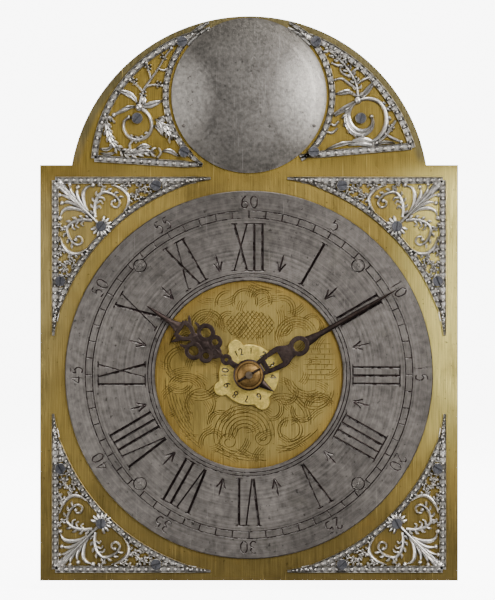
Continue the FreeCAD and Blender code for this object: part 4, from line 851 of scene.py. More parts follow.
DIAL_BRASS = Finish(
    "dial_brass", "dial_brass", (0.49, 0.352, 0.095), (0.25, 0.174, 0.046), (0.37, 0.21, 0.042),
    Grain.VERTICAL, 0.35, grain_depth=0.45, grain_scale=2600.0, patina_scale=12.0, stain_share=0.35,
    spots=0.6, recess=0.35, recess_reach=1.0, edge_warmth=0.4, edge_radius=RING_INNER,
    line_contrast=0.22, scratches=0.4,
    # Painted light and shade: a painted highlight on the upper right, a paler left edge, a middle tone over
    # most of the centre field, and darker towards the lower left, the foot, the upper left, across the arch
    # and towards its right and its rim.
    veils=(Veil((0.95, 0.80, 0.25), 0.95, (Ramp(57.0, 84.0, RIGHTWARDS), Ramp(-42.0, -2.0, UPWARDS))),
           Veil((0.60, 0.48, 0.20), 0.5, (Ramp(78.0, 96.0, (-1.0, 0.3)), Ramp(86.0, 70.0, UPWARDS))),
           Veil((0.16, 0.115, 0.038), 0.45, (Ramp(72.0, 110.0, (-1.0, -0.5)),)),
           Veil((0.17, 0.122, 0.040), 0.75, (Ramp(24.0, 80.0, DOWNWARDS),)),
           Veil((0.45, 0.345, 0.115), 0.6, (Ramp(39.6, 36.0, place=AXIS), Ramp(-30.0, -8.0, RIGHTWARDS))),
           Veil((0.21, 0.145, 0.04), 0.6, (Ramp(80.0, 135.0, (-0.7, 0.7)),)),
           Veil((0.30, 0.207, 0.043), 0.85, (Ramp(79.0, 93.0, UPWARDS),)),
           Veil((0.19, 0.134, 0.033), 0.5, (Ramp(20.0, 50.0, RIGHTWARDS), Ramp(86.0, 94.0, UPWARDS))),
           Veil((0.165, 0.14, 0.068), 0.85, (Ramp(72.4, 74.2, place=ARCH_CENTRE),
                                             Ramp(88.0, 93.0, UPWARDS)))))
CENTRE_GROOVE = Finish(
    "centre_groove", "dial_brass", (0.32, 0.22, 0.055), (0.19, 0.13, 0.032), (0.22, 0.12, 0.02),
    # Painted highlight on the groove walls that face up and to the right.
    Grain.CAST, 0.4, rubbed=0.75, rubbed_tone=(0.66, 0.50, 0.18))
SILVER = Finish(
    "ring_silver", "silvered_brass", (0.29, 0.262, 0.237), (0.158, 0.141, 0.128), (0.19, 0.174, 0.14),
    Grain.CIRCULAR, 0.38, grain_depth=0.6, grain_scale=1100.0, patina_scale=26.0, stain_share=0.45,
    spots=0.7, recess=0.5, recess_reach=0.8, line_contrast=0.42, scratches=0.22,
    # Painted light and shade: paler towards the lower left, darker towards the top.
    veils=(Veil((0.46, 0.42, 0.38), 0.42, (Ramp(20.0, 85.0, (-1.0, -0.15)),)),
           Veil((0.14, 0.125, 0.114), 0.6, (Ramp(36.0, 70.0, (-0.25, 0.95)),))))
WAX = Finish(
    "ring_wax", "silvered_brass", (0.13, 0.095, 0.09), (0.05, 0.037, 0.037), (0.26, 0.21, 0.19),
    Grain.CAST, 0.35, grain_depth=0.6, patina_scale=420.0, stain_share=0.6,
    # Painted highlight on the groove walls that face up and to the right.
    metal=0.9, rubbed=0.75)
BOSS_SILVER = Finish(
    "boss_silver", "boss_silver", (0.45, 0.417, 0.38), (0.29, 0.268, 0.244), (0.14, 0.127, 0.107),
    Grain.CAST, 0.34, grain_depth=0.5, grain_scale=700.0, patina_scale=15.0, stain_share=0.2,
    spots=0.7, recess=0.3, recess_reach=1.0, edge_warmth=0.5, edge_radius=34.0, edge_start=0.6,
    middle_v=BOSS_V, line_contrast=0.15, scratches=0.2,
    # Painted light and shade on the dome: darker over most of it and towards the top, with painted highlights
    # towards its right and left rims; the rim tone darkens it towards its edge as painted shade.
    veils=(Veil((0.15, 0.137, 0.122), 0.62, (Ramp(-8.0, 12.0, (1.0, 0.25)),)),
           Veil((0.16, 0.146, 0.128), 0.5, (Ramp(BOSS_V + 6.0, BOSS_V + 26.0, UPWARDS),)),
           Veil((0.82, 0.765, 0.69), 0.95, (Ramp(30.0, 11.0, place=(38.0, BOSS_V - 1.0)),)),
           Veil((0.95, 0.885, 0.80), 0.95, (Ramp(27.0, 8.0, place=(-41.0, BOSS_V - 1.0)),))))
WHITE_METAL = Finish(
    "spandrel_metal", "white_metal", (0.92, 0.88, 0.825), (0.60, 0.565, 0.52), (0.42, 0.38, 0.34),
    Grain.CAST, 0.32, grain_depth=0.4, grain_scale=1100.0, patina_scale=60.0, stain_share=0.45,
    spots=0.35, recess=0.85, recess_reach=1.1)
# Painted shade: a darker copy of the cast metal for the ground between the beads, so it reads shaded against
# them.
SHADED_GROUND_METAL = replace(WHITE_METAL, name="spandrel_shaded_ground", bright=(0.82, 0.785, 0.73),
                       dull=(0.53, 0.50, 0.455))
HAND_IRON = Finish(
    "hand_iron", "hand_iron", (0.074, 0.053, 0.046), (0.034, 0.024, 0.022), (0.12, 0.074, 0.048),
    Grain.CAST, 0.40, grain_depth=0.5, patina_scale=70.0, stain_share=0.5,
    spots=0.3, recess=0.3, recess_reach=1.0)
COLLET_BRASS = Finish(
    "collet_brass", "collet_brass", (0.335, 0.202, 0.068), (0.155, 0.091, 0.032), (0.09, 0.045, 0.019),
    Grain.CIRCULAR, 0.48, grain_depth=0.6, grain_scale=2600.0, patina_scale=300.0, stain_share=0.6,
    spots=0.7, recess_reach=0.8, line_contrast=0.35)
ALARM_BRASS = Finish(
    "alarm_brass", "alarm_brass", (0.96, 0.745, 0.205), (0.77, 0.57, 0.13), (0.54, 0.34, 0.075),
    Grain.CAST, 0.36, grain_depth=0.3, grain_scale=1300.0, patina_scale=80.0, stain_share=0.35,
    recess=0.5, recess_reach=0.8)
SCREW_GREY = Finish(
    "screw_grey", "steel", (0.17, 0.17, 0.185), (0.085, 0.085, 0.095), (0.12, 0.085, 0.07),
    Grain.CAST, 0.38, grain_depth=0.5, grain_scale=1400.0, patina_scale=160.0, recess_reach=0.8)
STEEL = Finish(
    "steel", "steel", (0.36, 0.35, 0.36), (0.20, 0.195, 0.20), (0.20, 0.13, 0.09),
    Grain.TURNED, 0.34, grain_depth=0.3, grain_scale=1800.0, patina_scale=80.0, spots=0.4,
    recess=0.4, recess_reach=1.0)
ARBOR_STEEL = replace(STEEL, name="arbor_steel", bright=(0.20, 0.155, 0.11), dull=(0.10, 0.075, 0.055),
                      stain=(0.10, 0.06, 0.035), roughness=0.36)
PLATE_BRASS = Finish(
    "movement_brass", "movement_brass", (0.74, 0.50, 0.13), (0.48, 0.31, 0.08), (0.40, 0.19, 0.04),
    Grain.VERTICAL, 0.34, grain_depth=0.3, grain_scale=1300.0, patina_scale=20.0, recess=0.3,
    recess_reach=1.2)
BELL_METAL = Finish(
    "bell_metal", "bell_metal", (0.62, 0.46, 0.20), (0.44, 0.31, 0.13), (0.34, 0.20, 0.08),
    Grain.TURNED, 0.28, grain_depth=0.3, grain_scale=1400.0, patina_scale=30.0, spots=0.4,
    recess=0.3, recess_reach=2.0)
BLACK_IRON = Finish(
    "black_iron", "black_iron", (0.060, 0.056, 0.054), (0.030, 0.028, 0.027), (0.10, 0.055, 0.035),
    Grain.CAST, 0.5, grain_depth=0.6, grain_scale=500.0, patina_scale=50.0, stain_share=0.5,
    spots=0.3, recess=0.3, recess_reach=2.0)


# Numbers cut with a graver

def joined(spans: Sequence[Point], gap: float) -> list[Point]:
    """Spans along a line, with those that nearly meet made one.

    Args:
        spans: first and last place of each.
        gap: smallest room that keeps two apart.

    Returns:
        The spans from left to right.
    """
    whole: list[Point] = []
    for first, last in sorted(spans):
        if whole and first - whole[-1][1] < gap:
            whole[-1] = (whole[-1][0], max(last, whole[-1][1]))
        else:
            whole.append((first, last))
    return whole


# Strokes of each digit in a box of width and height 1; the first item tells whether the stroke is a loop.
DIGITS: dict[str, tuple[tuple[bool, Path], ...]] = {
    "0": ((True, [(0.5, 1.0), (0.86, 0.8), (0.92, 0.5), (0.86, 0.2), (0.5, 0.0), (0.14, 0.2), (0.08, 0.5),
                  (0.14, 0.8)]),),
    "1": ((False, [(0.5, 0.0), (0.5, 1.0)]),
          (False, [(0.28, 0.8), (0.46, 0.95)])),
    "2": ((False, [(0.1, 0.78), (0.3, 0.98), (0.65, 0.97), (0.84, 0.72), (0.6, 0.42), (0.12, 0.04)]),
          (False, [(0.16, 0.03), (0.9, 0.03)])),
    "3": ((False, [(0.12, 0.92), (0.5, 1.0), (0.82, 0.8), (0.7, 0.6), (0.4, 0.54)]),
          (False, [(0.44, 0.5), (0.8, 0.42), (0.88, 0.2), (0.55, 0.0), (0.1, 0.1)])),
    "4": ((False, [(0.72, 0.0), (0.72, 1.0)]),
          (False, [(0.66, 0.96), (0.08, 0.34), (0.96, 0.32)])),
    "5": ((False, [(0.84, 0.98), (0.26, 0.96)]),
          (False, [(0.24, 0.9), (0.2, 0.56), (0.6, 0.62), (0.88, 0.36), (0.62, 0.02), (0.12, 0.06)])),
    "6": ((True, [(0.5, 0.56), (0.84, 0.42), (0.86, 0.16), (0.5, 0.0), (0.14, 0.16), (0.16, 0.42)]),
          (False, [(0.14, 0.34), (0.24, 0.74), (0.7, 1.0)])),
    "7": ((False, [(0.08, 0.97), (0.88, 0.97)]),
          (False, [(0.86, 0.92), (0.52, 0.5), (0.36, 0.0)])),
    "8": ((True, [(0.5, 1.0), (0.78, 0.88), (0.76, 0.64), (0.5, 0.55), (0.24, 0.64), (0.22, 0.88)]),
          (True, [(0.5, 0.5), (0.86, 0.38), (0.84, 0.1), (0.5, 0.0), (0.16, 0.1), (0.14, 0.38)])),
    "9": ((True, [(0.5, 1.0), (0.84, 0.84), (0.82, 0.56), (0.5, 0.46), (0.16, 0.56), (0.16, 0.84)]),
          (False, [(0.85, 0.66), (0.76, 0.26), (0.3, 0.0)])),
}


class Graver(Cuts):
    """Cuts strokes in polar places round the hands' axis, tops outwards."""

    digit_width = 0.62
    digit_advance = 1.22
    digit_steps = 5
    wide_letter = 2.3
    splay = 0.34
    thin_share = 0.6
    hair_share = 0.55
    serif_share = 0.42
    serif_gap = 0.25

    def local(self, radius: float, degrees: float, across: float, up: float) -> Point:
        """A place to the right of and outwards from a spot of the ring, seen with the top outwards."""
        turn, reach = math.radians(degrees), radius + up
        return (reach * math.sin(turn) + across * math.cos(turn),
                reach * math.cos(turn) - across * math.sin(turn))

    def number(self, text: str, radius: float, degrees: float, height: float, stroke: Stroke) -> None:
        """A number with its foot on a circle.

        Args:
            text: digits.
            radius: radius of the foot.
            degrees: clockwise angle of the middle.
            height: height of the digits.
            stroke: width and depth of the line.
        """
        at = partial(self.local, radius, degrees)
        width = height * self.digit_width
        advance = width * self.digit_advance
        for index, digit in enumerate(text):
            left = (index - len(text) / 2) * advance + (advance - width) / 2
            for loop, knots in DIGITS[digit]:
                places = [at(left + x * width, y * height) for x, y in knots]
                if loop:
                    line = smooth([*places, places[0]], self.digit_steps)[:-1]
                elif len(places) > 2:
                    line = smooth(places, self.digit_steps)
                else:
                    line = straight(places[0], places[1], 2)
                self.add(line, stroke, loop)

    def roman(self, text: str, radius: float, degrees: float, height: float, pitch: float,
              stroke: Stroke) -> None:
        """A Roman hour with its foot on a circle.

        Args:
            text: letters I, V and X.
            radius: radius of the foot.
            degrees: clockwise angle of the middle.
            height: height of the letters.
            pitch: room for one upright.
            stroke: width and depth of a thick line.
        """
        at = partial(self.local, radius, degrees)
        rooms = {"I": pitch, "V": pitch * self.wide_letter, "X": pitch * self.wide_letter}
        left = -sum(rooms[letter] for letter in text) / 2
        serif = pitch * self.serif_share
        hair = stroke.scaled(self.hair_share, self.hair_share)
        thick, thin = 1.0, self.thin_share
        ends: dict[float, list[Point]] = {0.0: [], height: []}
        for letter in text:
            room = rooms[letter]
            middle = left + room / 2
            west, east = middle - room * self.splay, middle + room * self.splay
            if letter == "I":
                lines = [(middle, middle, thick)]
            elif letter == "V":
                lines = [(west, middle - hair.half_width, thick), (east, middle + hair.half_width, thin)]
            else:
                lines = [(west, east, thick), (east, west, thin)]
            for top, foot, share in lines:
                path = straight(at(foot, 0.0), at(top, height), 2)
                self.add(path, stroke.scaled(share, share), pointed=False)
                ends[height].append((top - serif, top + serif))
                if letter != "V":
                    ends[0.0].append((foot - serif, foot + serif))
            left += room
        for up, spans in ends.items():
            for first, last in joined(spans, pitch * self.serif_gap):
                steps = max(6, round((last - first) / pitch * 4))
                self.add(straight(at(first, up), at(last, up), steps), hair)


# Chapter ring, dial plate and boss

@dataclass
class ChapterRing:
    """Silvered hour ring with cut hours, minutes and half-hour arrows."""

    outer: float = half_extent("chapter_ring", 0)
    inner: float = RING_INNER
    thickness: float = RING_THICKNESS
    edge: float = 0.35
    rows: int = 240
    hours: tuple[str, ...] = ("XII", "I", "II", "III", "IIII", "V", "VI", "VII", "VIII", "IX", "X", "XI")
    hour_degrees: float = 30.0
    hour_foot: float = 44.2
    hour_height: float = 20.0
    hour_pitch: float = 3.5
    hour_stroke: Stroke = Stroke(0.56, 0.62)
    stroke: Stroke = Stroke(0.30, 0.26)
    track: Point = (66.7, 69.7)
    track_gap: float = 0.1
    inner_lines: Point = (1.6, 3.1)
    circle_steps: int = 180
    minutes: int = 60
    minute_foot: float = 70.9
    minute_height: float = 5.2
    rivet_stroke: Stroke = Stroke(0.3, 0.34)
    rivet_gap: float = 0.15
    rivet_steps: int = 28
    arrow_foot: float = 45.4
    arrow_barb: float = 4.2
    arrow_spread: float = 2.0
    arrow_gap: float = 0.9
    arrow_stem: float = 7.6
    unsteady: float = 0.7
    seed: int = 11

    def blank(self) -> Sketch:
        """The ring before it is cut.

        Returns:
            A ring with broken edges.
        """
        sketch = Sketch()
        top, edge = self.thickness, self.edge
        profile = [(self.inner, 0.0), (self.outer, 0.0), (self.outer, top - edge), (self.outer - edge, top),
                   (self.inner + edge, top), (self.inner, top - edge)]
        rings = []
        for index in range(self.rows):
            turn = FULL_TURN * index / self.rows
            rings.append([(*clock_place(radius, turn), w) for radius, w in profile])
        sketch.rings(rings, closed=True)
        return sketch

    def marks(self) -> list[Sketch]:
        """All cut lines.

        Returns:
            Layers of cutters.
        """
        graver = Graver(self.thickness)
        for radius in (*self.track, *(self.inner + step for step in self.inner_lines)):
            graver.add(full_circle(AXIS, radius, self.circle_steps), self.stroke.scaled(0.8), True)
        rng = random.Random(self.seed)
        for index, text in enumerate(self.hours):
            turn = self.hour_degrees * index
            shifts = [rng.uniform(-self.unsteady, self.unsteady) for _ in range(3)]
            graver.roman(text, self.hour_foot, turn + shifts[0], self.hour_height, self.hour_pitch,
                         self.hour_stroke)
            graver.number(str(5 * index or self.minutes), self.minute_foot, turn + shifts[1],
                          self.minute_height, self.stroke)
            self.arrow(graver, turn + self.hour_degrees / 2 + shifts[2] * 2)
        for degrees in DialRivets.ring_degrees:
            place = clock_place(DialRivets.ring_circle, degrees)
            line = full_circle(place, DialRivets.radius + self.rivet_gap, self.rivet_steps)
            graver.add(line, self.rivet_stroke, True)
        for index in range(self.minutes):
            turn = FULL_TURN / self.minutes * index
            tick = straight(clock_place(self.track[0] + self.track_gap, turn),
                            clock_place(self.track[1] - self.track_gap, turn), 2)
            graver.add(tick, self.stroke.scaled(0.9), pointed=False)
        return graver.sketches()

    def arrow(self, graver: Graver, degrees: float) -> None:
        """A half-hour arrow that points inwards: two short barbs and a stem.

        Args:
            graver: lines of the ring.
            degrees: clockwise angle of the arrow.
        """
        at, stroke = partial(graver.local, self.arrow_foot, degrees), self.stroke.scaled(1.25, 1.2)
        for side in (-1, 1):
            knots = [(0.1 * side, 0.0), (0.9 * side, self.arrow_barb * 0.55),
                     (self.arrow_spread * side, self.arrow_barb)]
            graver.add(smooth([at(*knot) for knot in knots], 4), stroke)
        graver.add(straight(at(0.0, self.arrow_gap), at(0.0, self.arrow_stem), 6), stroke)

    def build(self) -> None:
        """Cut the ring and put it on the dial."""
        ring = self.blank().mesh("chapter_ring_cut", SILVER)
        engrave(ring, self.marks(), WAX)
        stand_for(ring, CUT_ANGLE, "frame", SILVER.slot, "chapter_ring")


@dataclass(frozen=True)
class Nest:
    """Round lines inside each other, as one leaf of the scrollwork; each loses the trim at both ends."""

    centre: Point
    outer: float
    pitch: float
    lines: int
    degrees: Point
    trim: float = 5.0


@dataclass
class DialPlate:
    """Brass dial plate with a cut centre."""

    half_width: float = half_extent("dial_plate", 0)
    thickness: float = half_extent("dial_plate", 1) * 2
    shoulder: float = 89.3
    arch_radius: float = 76.6
    arch_drop: float = 13.2
    arch_steps: int = 96
    hole: float = 5.2
    edge: float = 0.25
    stroke: Stroke = Stroke(0.16, 0.15)
    field_radius: float = 38.6
    trellis_centre: Point = (0.5, 21.0)
    trellis_reach: Point = (10.6, 6.6)
    trellis_pitch: float = 2.3
    trellis_slope: float = 1.25
    brick_start: Point = (22.8, -2.2)
    brick_end: float = 36.4
    brick_size: Point = (3.8, 2.2)
    brick_gap: float = 0.35
    courses: int = 8
    leaves: tuple[Nest, ...] = (
        Nest((-1.6, 31.2), 5.6, 0.9, 2, (-115, 115)), Nest((-17.8, 20.4), 7.6, 1.0, 5, (-80, 110)),
        Nest((20.4, 15.6), 9.4, 1.1, 5, (-100, 75)), Nest((25.0, 0.0), 10.6, 1.1, 4, (135, 265)),
        Nest((27.5, -6.5), 8.6, 1.1, 2, (90, 250)), Nest((-28.6, 4.6), 7.6, 1.2, 3, (-190, 60)),
        Nest((-21.5, -1.0), 10.4, 1.1, 4, (105, 215)), Nest(AXIS, 37.6, 1.2, 6, (212, 268), 4.0),
        Nest((-20.6, -12.4), 6.6, 1.0, 2, (-150, 150)), Nest((-1.8, -25.8), 13.2, 1.6, 7, (-112, 96), 3.0),
        Nest((14.6, -20.2), 12.4, 1.2, 3, (-35, 95)), Nest((17.4, -23.4), 5.4, 1.1, 2, (0, 356), 0.0),
        Nest((14.0, 27.6), 6.2, 1.1, 3, (-20, 120)), Nest((-9.0, 30.6), 5.4, 1.0, 2, (-110, 10)),
        Nest((-26.6, -8.0), 8.8, 0.9, 5, (-60, 80), 6.0), Nest((-12.0, -20.6), 5.6, 0.8, 3, (-100, 60)),
        Nest((30.0, -14.4), 6.6, 0.9, 4, (-90, 90)), Nest((22.6, -15.4), 5.0, 0.9, 3, (120, 300)),
        Nest((9.6, -14.6), 5.2, 0.8, 3, (40, 200)), Nest((-16.0, 9.6), 6.0, 0.9, 3, (200, 330)),
        Nest((27.2, 21.2), 4.8, 0.8, 3, (-60, 150)), Nest((-25.4, 14.0), 5.2, 0.9, 3, (-150, 40)),
        Nest((5.4, 31.8), 4.6, 0.8, 3, (-80, 120)), Nest(AXIS, 37.4, 1.2, 3, (128, 160)),
        Nest((-30.0, -2.0), 6.4, 0.9, 3, (110, 250)), Nest((-15.4, -29.0), 6.0, 0.9, 3, (-120, 70)),
        Nest((15.6, -7.6), 5.4, 0.9, 3, (60, 230)), Nest((-8.6, 22.6), 4.6, 0.9, 3, (-170, 20)),
        Nest((14.2, 20.6), 4.4, 0.9, 3, (10, 200)), Nest(AXIS, 37.2, 1.2, 4, (168, 205)))
    spirals: tuple[tuple[Point, float, float], ...] = (((5.6, -26.8), 4.0, 60), ((-8.6, -28.6), 4.4, 200))
    spiral_degrees: float = 560
    bundles: tuple[tuple[Point, Point, Point], ...] = (
        ((-3.0, -33.4), (1.0, -35.8), (6.0, -36.2)), ((24.0, -11.0), (29.0, -12.0), (33.5, -10.4)),
        ((-14.0, -31.0), (-9.0, -34.0), (-6.0, -34.6)), ((11.4, -32.0), (17.0, -32.4), (22.0, -30.0)),
        ((-34.0, 12.6), (-31.0, 17.6), (-26.8, 22.0)), ((9.4, 34.6), (5.0, 35.6), (0.0, 37.6)))
    hatch_groups: int = 64
    hatch_lines: int = 4
    hatch_pitch: float = 0.85
    hatch_hole: float = 12.5
    hatch_stroke: Stroke = Stroke(0.11, 0.10)
    hatch_degrees: float = 26
    hatch_trim: float = 3
    hatch_turn: float = 137.508
    hatch_seed: int = 23
    cuts: Cuts = field(default_factory=lambda: Cuts(0.0))

    def outline(self, shrink: float) -> Path:
        """The plate's edge.

        Args:
            shrink: how far it is drawn in.

        Returns:
            Places from the lower left corner, clockwise.
        """
        bottom, top = dial_box("dial_plate")[2], self.shoulder
        half, radius = self.half_width - shrink, self.arch_radius - shrink
        reach = math.degrees(math.acos((self.arch_drop - shrink) / radius))
        arch = sweep_arc((0.0, top - self.arch_drop), (radius, radius), (-reach, reach), self.arch_steps)
        return [(-half, bottom + shrink), (-half, top - shrink), *arch, (half, top - shrink),
                (half, bottom + shrink)]

    def blank(self) -> Sketch:
        """The plate before it is cut.

        Returns:
            A plate with broken edges.
        """
        sketch = Sketch()
        levels = [(self.edge, -self.thickness), (0.0, self.edge - self.thickness), (0.0, -self.edge),
                  (self.edge, 0.0)]
        sketch.rings([[(u, v, w) for u, v in self.outline(shrink)] for shrink, w in levels])
        return sketch

    def kept(self, line: Path, stroke: Stroke, hole: float = -1.0) -> None:
        """Cut the places of a line that lie on the field, if enough are left.

        Args:
            line: places of the line.
            stroke: width and depth of the line.
            hole: radius round the hands that stays bare.
        """
        inside = [place for place in line if hole < math.hypot(*place) < self.field_radius]
        if len(inside) > 3:
            self.cuts.add(inside, stroke)

    def trellis(self) -> None:
        """Crossed lines over a lens above the hands."""
        centre, reach = self.trellis_centre, self.trellis_reach
        for slope in (self.trellis_slope, -self.trellis_slope):
            for index in range(-9, 10):
                shift = index * self.trellis_pitch
                ends = [(t * 0.5, slope * t * 0.5 + shift) for t in range(-24, 25)]
                inside = [(u, v) for u, v in ends if (u / reach[0]) ** 2 + (v / reach[1]) ** 2 < 1]
                if len(inside) > 2:
                    line = [(centre[0] + u, centre[1] + v) for u, v in inside]
                    self.cuts.add(line, self.stroke.scaled(0.9))

    def bricks(self) -> None:
        """Courses of bricks on the right."""
        left, low = self.brick_start
        length, course = self.brick_size
        for index in range(self.courses):
            level = low + index * course
            right = min(self.brick_end, math.sqrt(self.field_radius ** 2 - level ** 2) - 1.0)
            bed = straight((left + 0.5 * (index % 3), level), (right, level), 6)
            self.cuts.add(bed, self.stroke.scaled(0.8))
            for joint in range(4 if index < self.courses - 1 else 0):
                u = left + (joint + 0.5 + 0.5 * (index % 2)) * length
                if u < right - 1.0:
                    upright = straight((u, level + self.brick_gap), (u, level + course - self.brick_gap), 4)
                    self.cuts.add(upright, self.stroke.scaled(0.7))

    def scrolls(self) -> None:
        """Nested leaves, spirals and bundles of bent lines round the centre."""
        for nest in self.leaves:
            for index in range(nest.lines):
                radius, trim = nest.outer - nest.pitch * index, nest.trim * index
                ends = (nest.degrees[0] + trim, nest.degrees[1] - trim)
                self.kept(sweep_arc(nest.centre, (radius, radius * 0.95), ends, 24), self.stroke)
        for centre, size, turn in self.spirals:
            line = sweep_arc(centre, (size, size * 0.2), (turn, turn + self.spiral_degrees), 48)
            self.cuts.add(line, self.stroke)
        for knots in self.bundles:
            for step in range(3):
                line = smooth([(u + step * 0.3, v + step) for u, v in knots], 6)
                self.cuts.add(line, self.stroke.scaled(0.9))

    def hatching(self) -> None:
        """Short bundles of fine strokes that fill the field between the leaves."""
        rng = random.Random(self.hatch_seed)
        for index in range(self.hatch_groups):
            radius = self.field_radius * math.sqrt((index + 5) / (self.hatch_groups + 5))
            bend, turn = rng.uniform(5.0, 11.0), rng.uniform(0.0, FULL_TURN)
            middle = clock_place(-bend, turn, clock_place(radius, self.hatch_turn * index))
            for step in range(self.hatch_lines):
                reach, trim = bend + self.hatch_pitch * step, self.hatch_trim * step
                ends = (turn - self.hatch_degrees + trim, turn + self.hatch_degrees - trim)
                line = sweep_arc(middle, (reach, reach), ends, 10)
                self.kept(line, self.hatch_stroke, self.hatch_hole)

    def build(self) -> None:
        """Cut the plate and put it in its place."""
        plate = self.blank().mesh("dial_plate_cut", DIAL_BRASS)
        hole = Sketch()
        hole.turned(AXIS, [(self.hole, -self.thickness - 1.0), (self.hole, 1.0)], 48)
        self.trellis()
        self.bricks()
        self.scrolls()
        self.hatching()
        engrave(plate, [hole, *self.cuts.sketches()], CENTRE_GROOVE)
        stand_for(plate, CUT_ANGLE, "frame", DIAL_BRASS.slot, "dial_plate")


@dataclass
class ArchBoss:
    """Domed silvered boss, bare, with a turned rim line."""

    radius: float = BOSS_RADIUS
    edge: float = 1.0
    rise: float = 1.5
    rings: int = 26
    rows: int = 120
    rim_lines: tuple[int, int] = (1, 3)
    rim_depth: float = 0.10
    dents: float = 0.035
    waves: int = 7
    wave_pitch: float = 0.25
    wave_shift: float = 6.28
    seed: int = 7

    def build(self) -> None:
        """Turn the dome with the small unevenness of hand work."""
        rng = random.Random(self.seed)
        pitch = self.wave_pitch
        waves = [(rng.uniform(-pitch, pitch), rng.uniform(-pitch, pitch), rng.uniform(0, self.wave_shift))
                 for _ in range(self.waves)]
        turns = [FULL_TURN * index / self.rows for index in range(self.rows)]
        rings = [[(*clock_place(self.radius, turn, BOSS_CENTRE), 0.0) for turn in turns]]
        for ring in range(self.rings):
            share = 1 - ring / self.rings
            line = -self.rim_depth if ring in self.rim_lines else 0.0
            corners = []
            for turn in turns:
                u, v = clock_place(self.radius * share, turn, BOSS_CENTRE)
                wave = sum(math.sin(a * u + b * v + c) for a, b, c in waves) / len(waves)
                corners.append((u, v, self.edge + self.rise * (1 - share * share) + self.dents * wave + line))
            rings.append(corners)
        sketch = Sketch()
        sketch.rings(rings)
        boss = sketch.mesh("arch_boss_domed", BOSS_SILVER)
        stand_for(boss, TURNED_ANGLE, "frame", BOSS_SILVER.slot, "arch_boss")


# Cast ornaments

Knots = tuple[Point, ...]
Widths = tuple[float, ...]
LEFT_RIGHT = 0
UP_DOWN = 2


@dataclass
class Relief:
    """What the cast ornaments share."""

    strip_half: float = 1.5
    strip_height: float = 1.15
    bead_radius: float = 0.84
    bead_height: float = 1.45
    bead_pitch: float = 3.1
    bead_seat: float = 0.3
    tip_bead: float = 0.82
    stem_height: float = 1.4
    stem_share: float = 0.86
    leaflet_half: float = 0.85
    pad: float = 2.35
    pad_height: float = 1.9
    pad_edge: Point = (0.3, 0.25)
    sketch: Sketch = field(default_factory=Sketch)

    def border(self, path: Path, taper: Sequence[float], pitch_share: float = 1.0) -> None:
        """A flat strip with a row of beads between two raised lips.

        Args:
            path: places along its middle.
            taper: shares of its full size, spread evenly from end to end.
            pitch_share: share of the usual distance between beads.
        """
        halves = [self.strip_half * share for share in taper]
        self.sketch.strip(path, halves, (self.strip_height,), Section.TRAY, ground=True)
        places = list(along(path, self.bead_pitch * pitch_share))
        for index, place in enumerate(places):
            share = spread(taper, (index + 0.5) / len(places))
            base = self.strip_height * self.bead_seat
            self.sketch.bead(place, self.bead_radius * share, base, self.bead_height)

    def stem(self, knots: Sequence[Point], widths: Sequence[float], height: float = 1.0,
             section: Section = Section.ROUND) -> None:
        """A curved stem of the scrollwork.

        Args:
            knots: places that it passes.
            widths: half widths before the common share, spread evenly from end to end.
            height: share of the usual height.
            section: form of the cross-section.
        """
        path = smooth(knots, 7) if len(knots) > 2 else straight(knots[0], knots[1], 6)
        top = self.stem_height * height
        halves = [self.stem_share * width for width in widths]
        self.sketch.strip(path, halves, (top * 0.75, top, top * 0.75), section)

    def leaf(self, knots: Sequence[Point], width: float, height: float = 1.0,
             section: Section = Section.LEAF) -> None:
        """A leaf that is pointed at both ends."""
        self.stem(knots, (0.12, width * 0.7, width, width * 0.75, 0.1), height, section)

    def fringe(self, knots: Sequence[Point], pitch: float, reach: float, lean: float) -> None:
        """Small leaflets along a stem.

        Args:
            knots: knots of the stem.
            pitch: distance from leaflet to leaflet.
            reach: length of a leaflet.
            lean: degrees from the stem's direction, to its right.
        """
        places = list(along(smooth(knots, 7), pitch))
        for index, (u, v) in enumerate(places):
            aside = side_of(places, index, False)
            leaflet = [(u, v)]
            for share, turn in ((0.55, math.radians(lean * 1.3)), (1.0, math.radians(lean))):
                ahead, out = reach * share * math.cos(turn), reach * share * math.sin(turn)
                leaflet.append((u - aside[1] * ahead + aside[0] * out, v + aside[0] * ahead + aside[1] * out))
            self.leaf(leaflet, self.leaflet_half, 1.2, Section.ROUND)

    def seat(self, place: Point) -> None:
        """The round seat of a screw."""
        top = (self.pad - self.pad_edge[0], self.pad_height + self.pad_edge[1])
        self.sketch.turned(place, [(self.pad, 0.0), (self.pad, self.pad_height), top], 24)

    def cast(self, sketch: Sketch, name: str, node: str) -> None:
        """Cast an ornament and put it on the dial.

        Args:
            sketch: its pieces.
            name: name of the casting.
            node: CAD node that it stands for.
        """
        casting = sketch.mesh(name, WHITE_METAL, SHADED_GROUND_METAL)
        stand_for(casting, CAST_ANGLE, "frame", WHITE_METAL.slot, node)


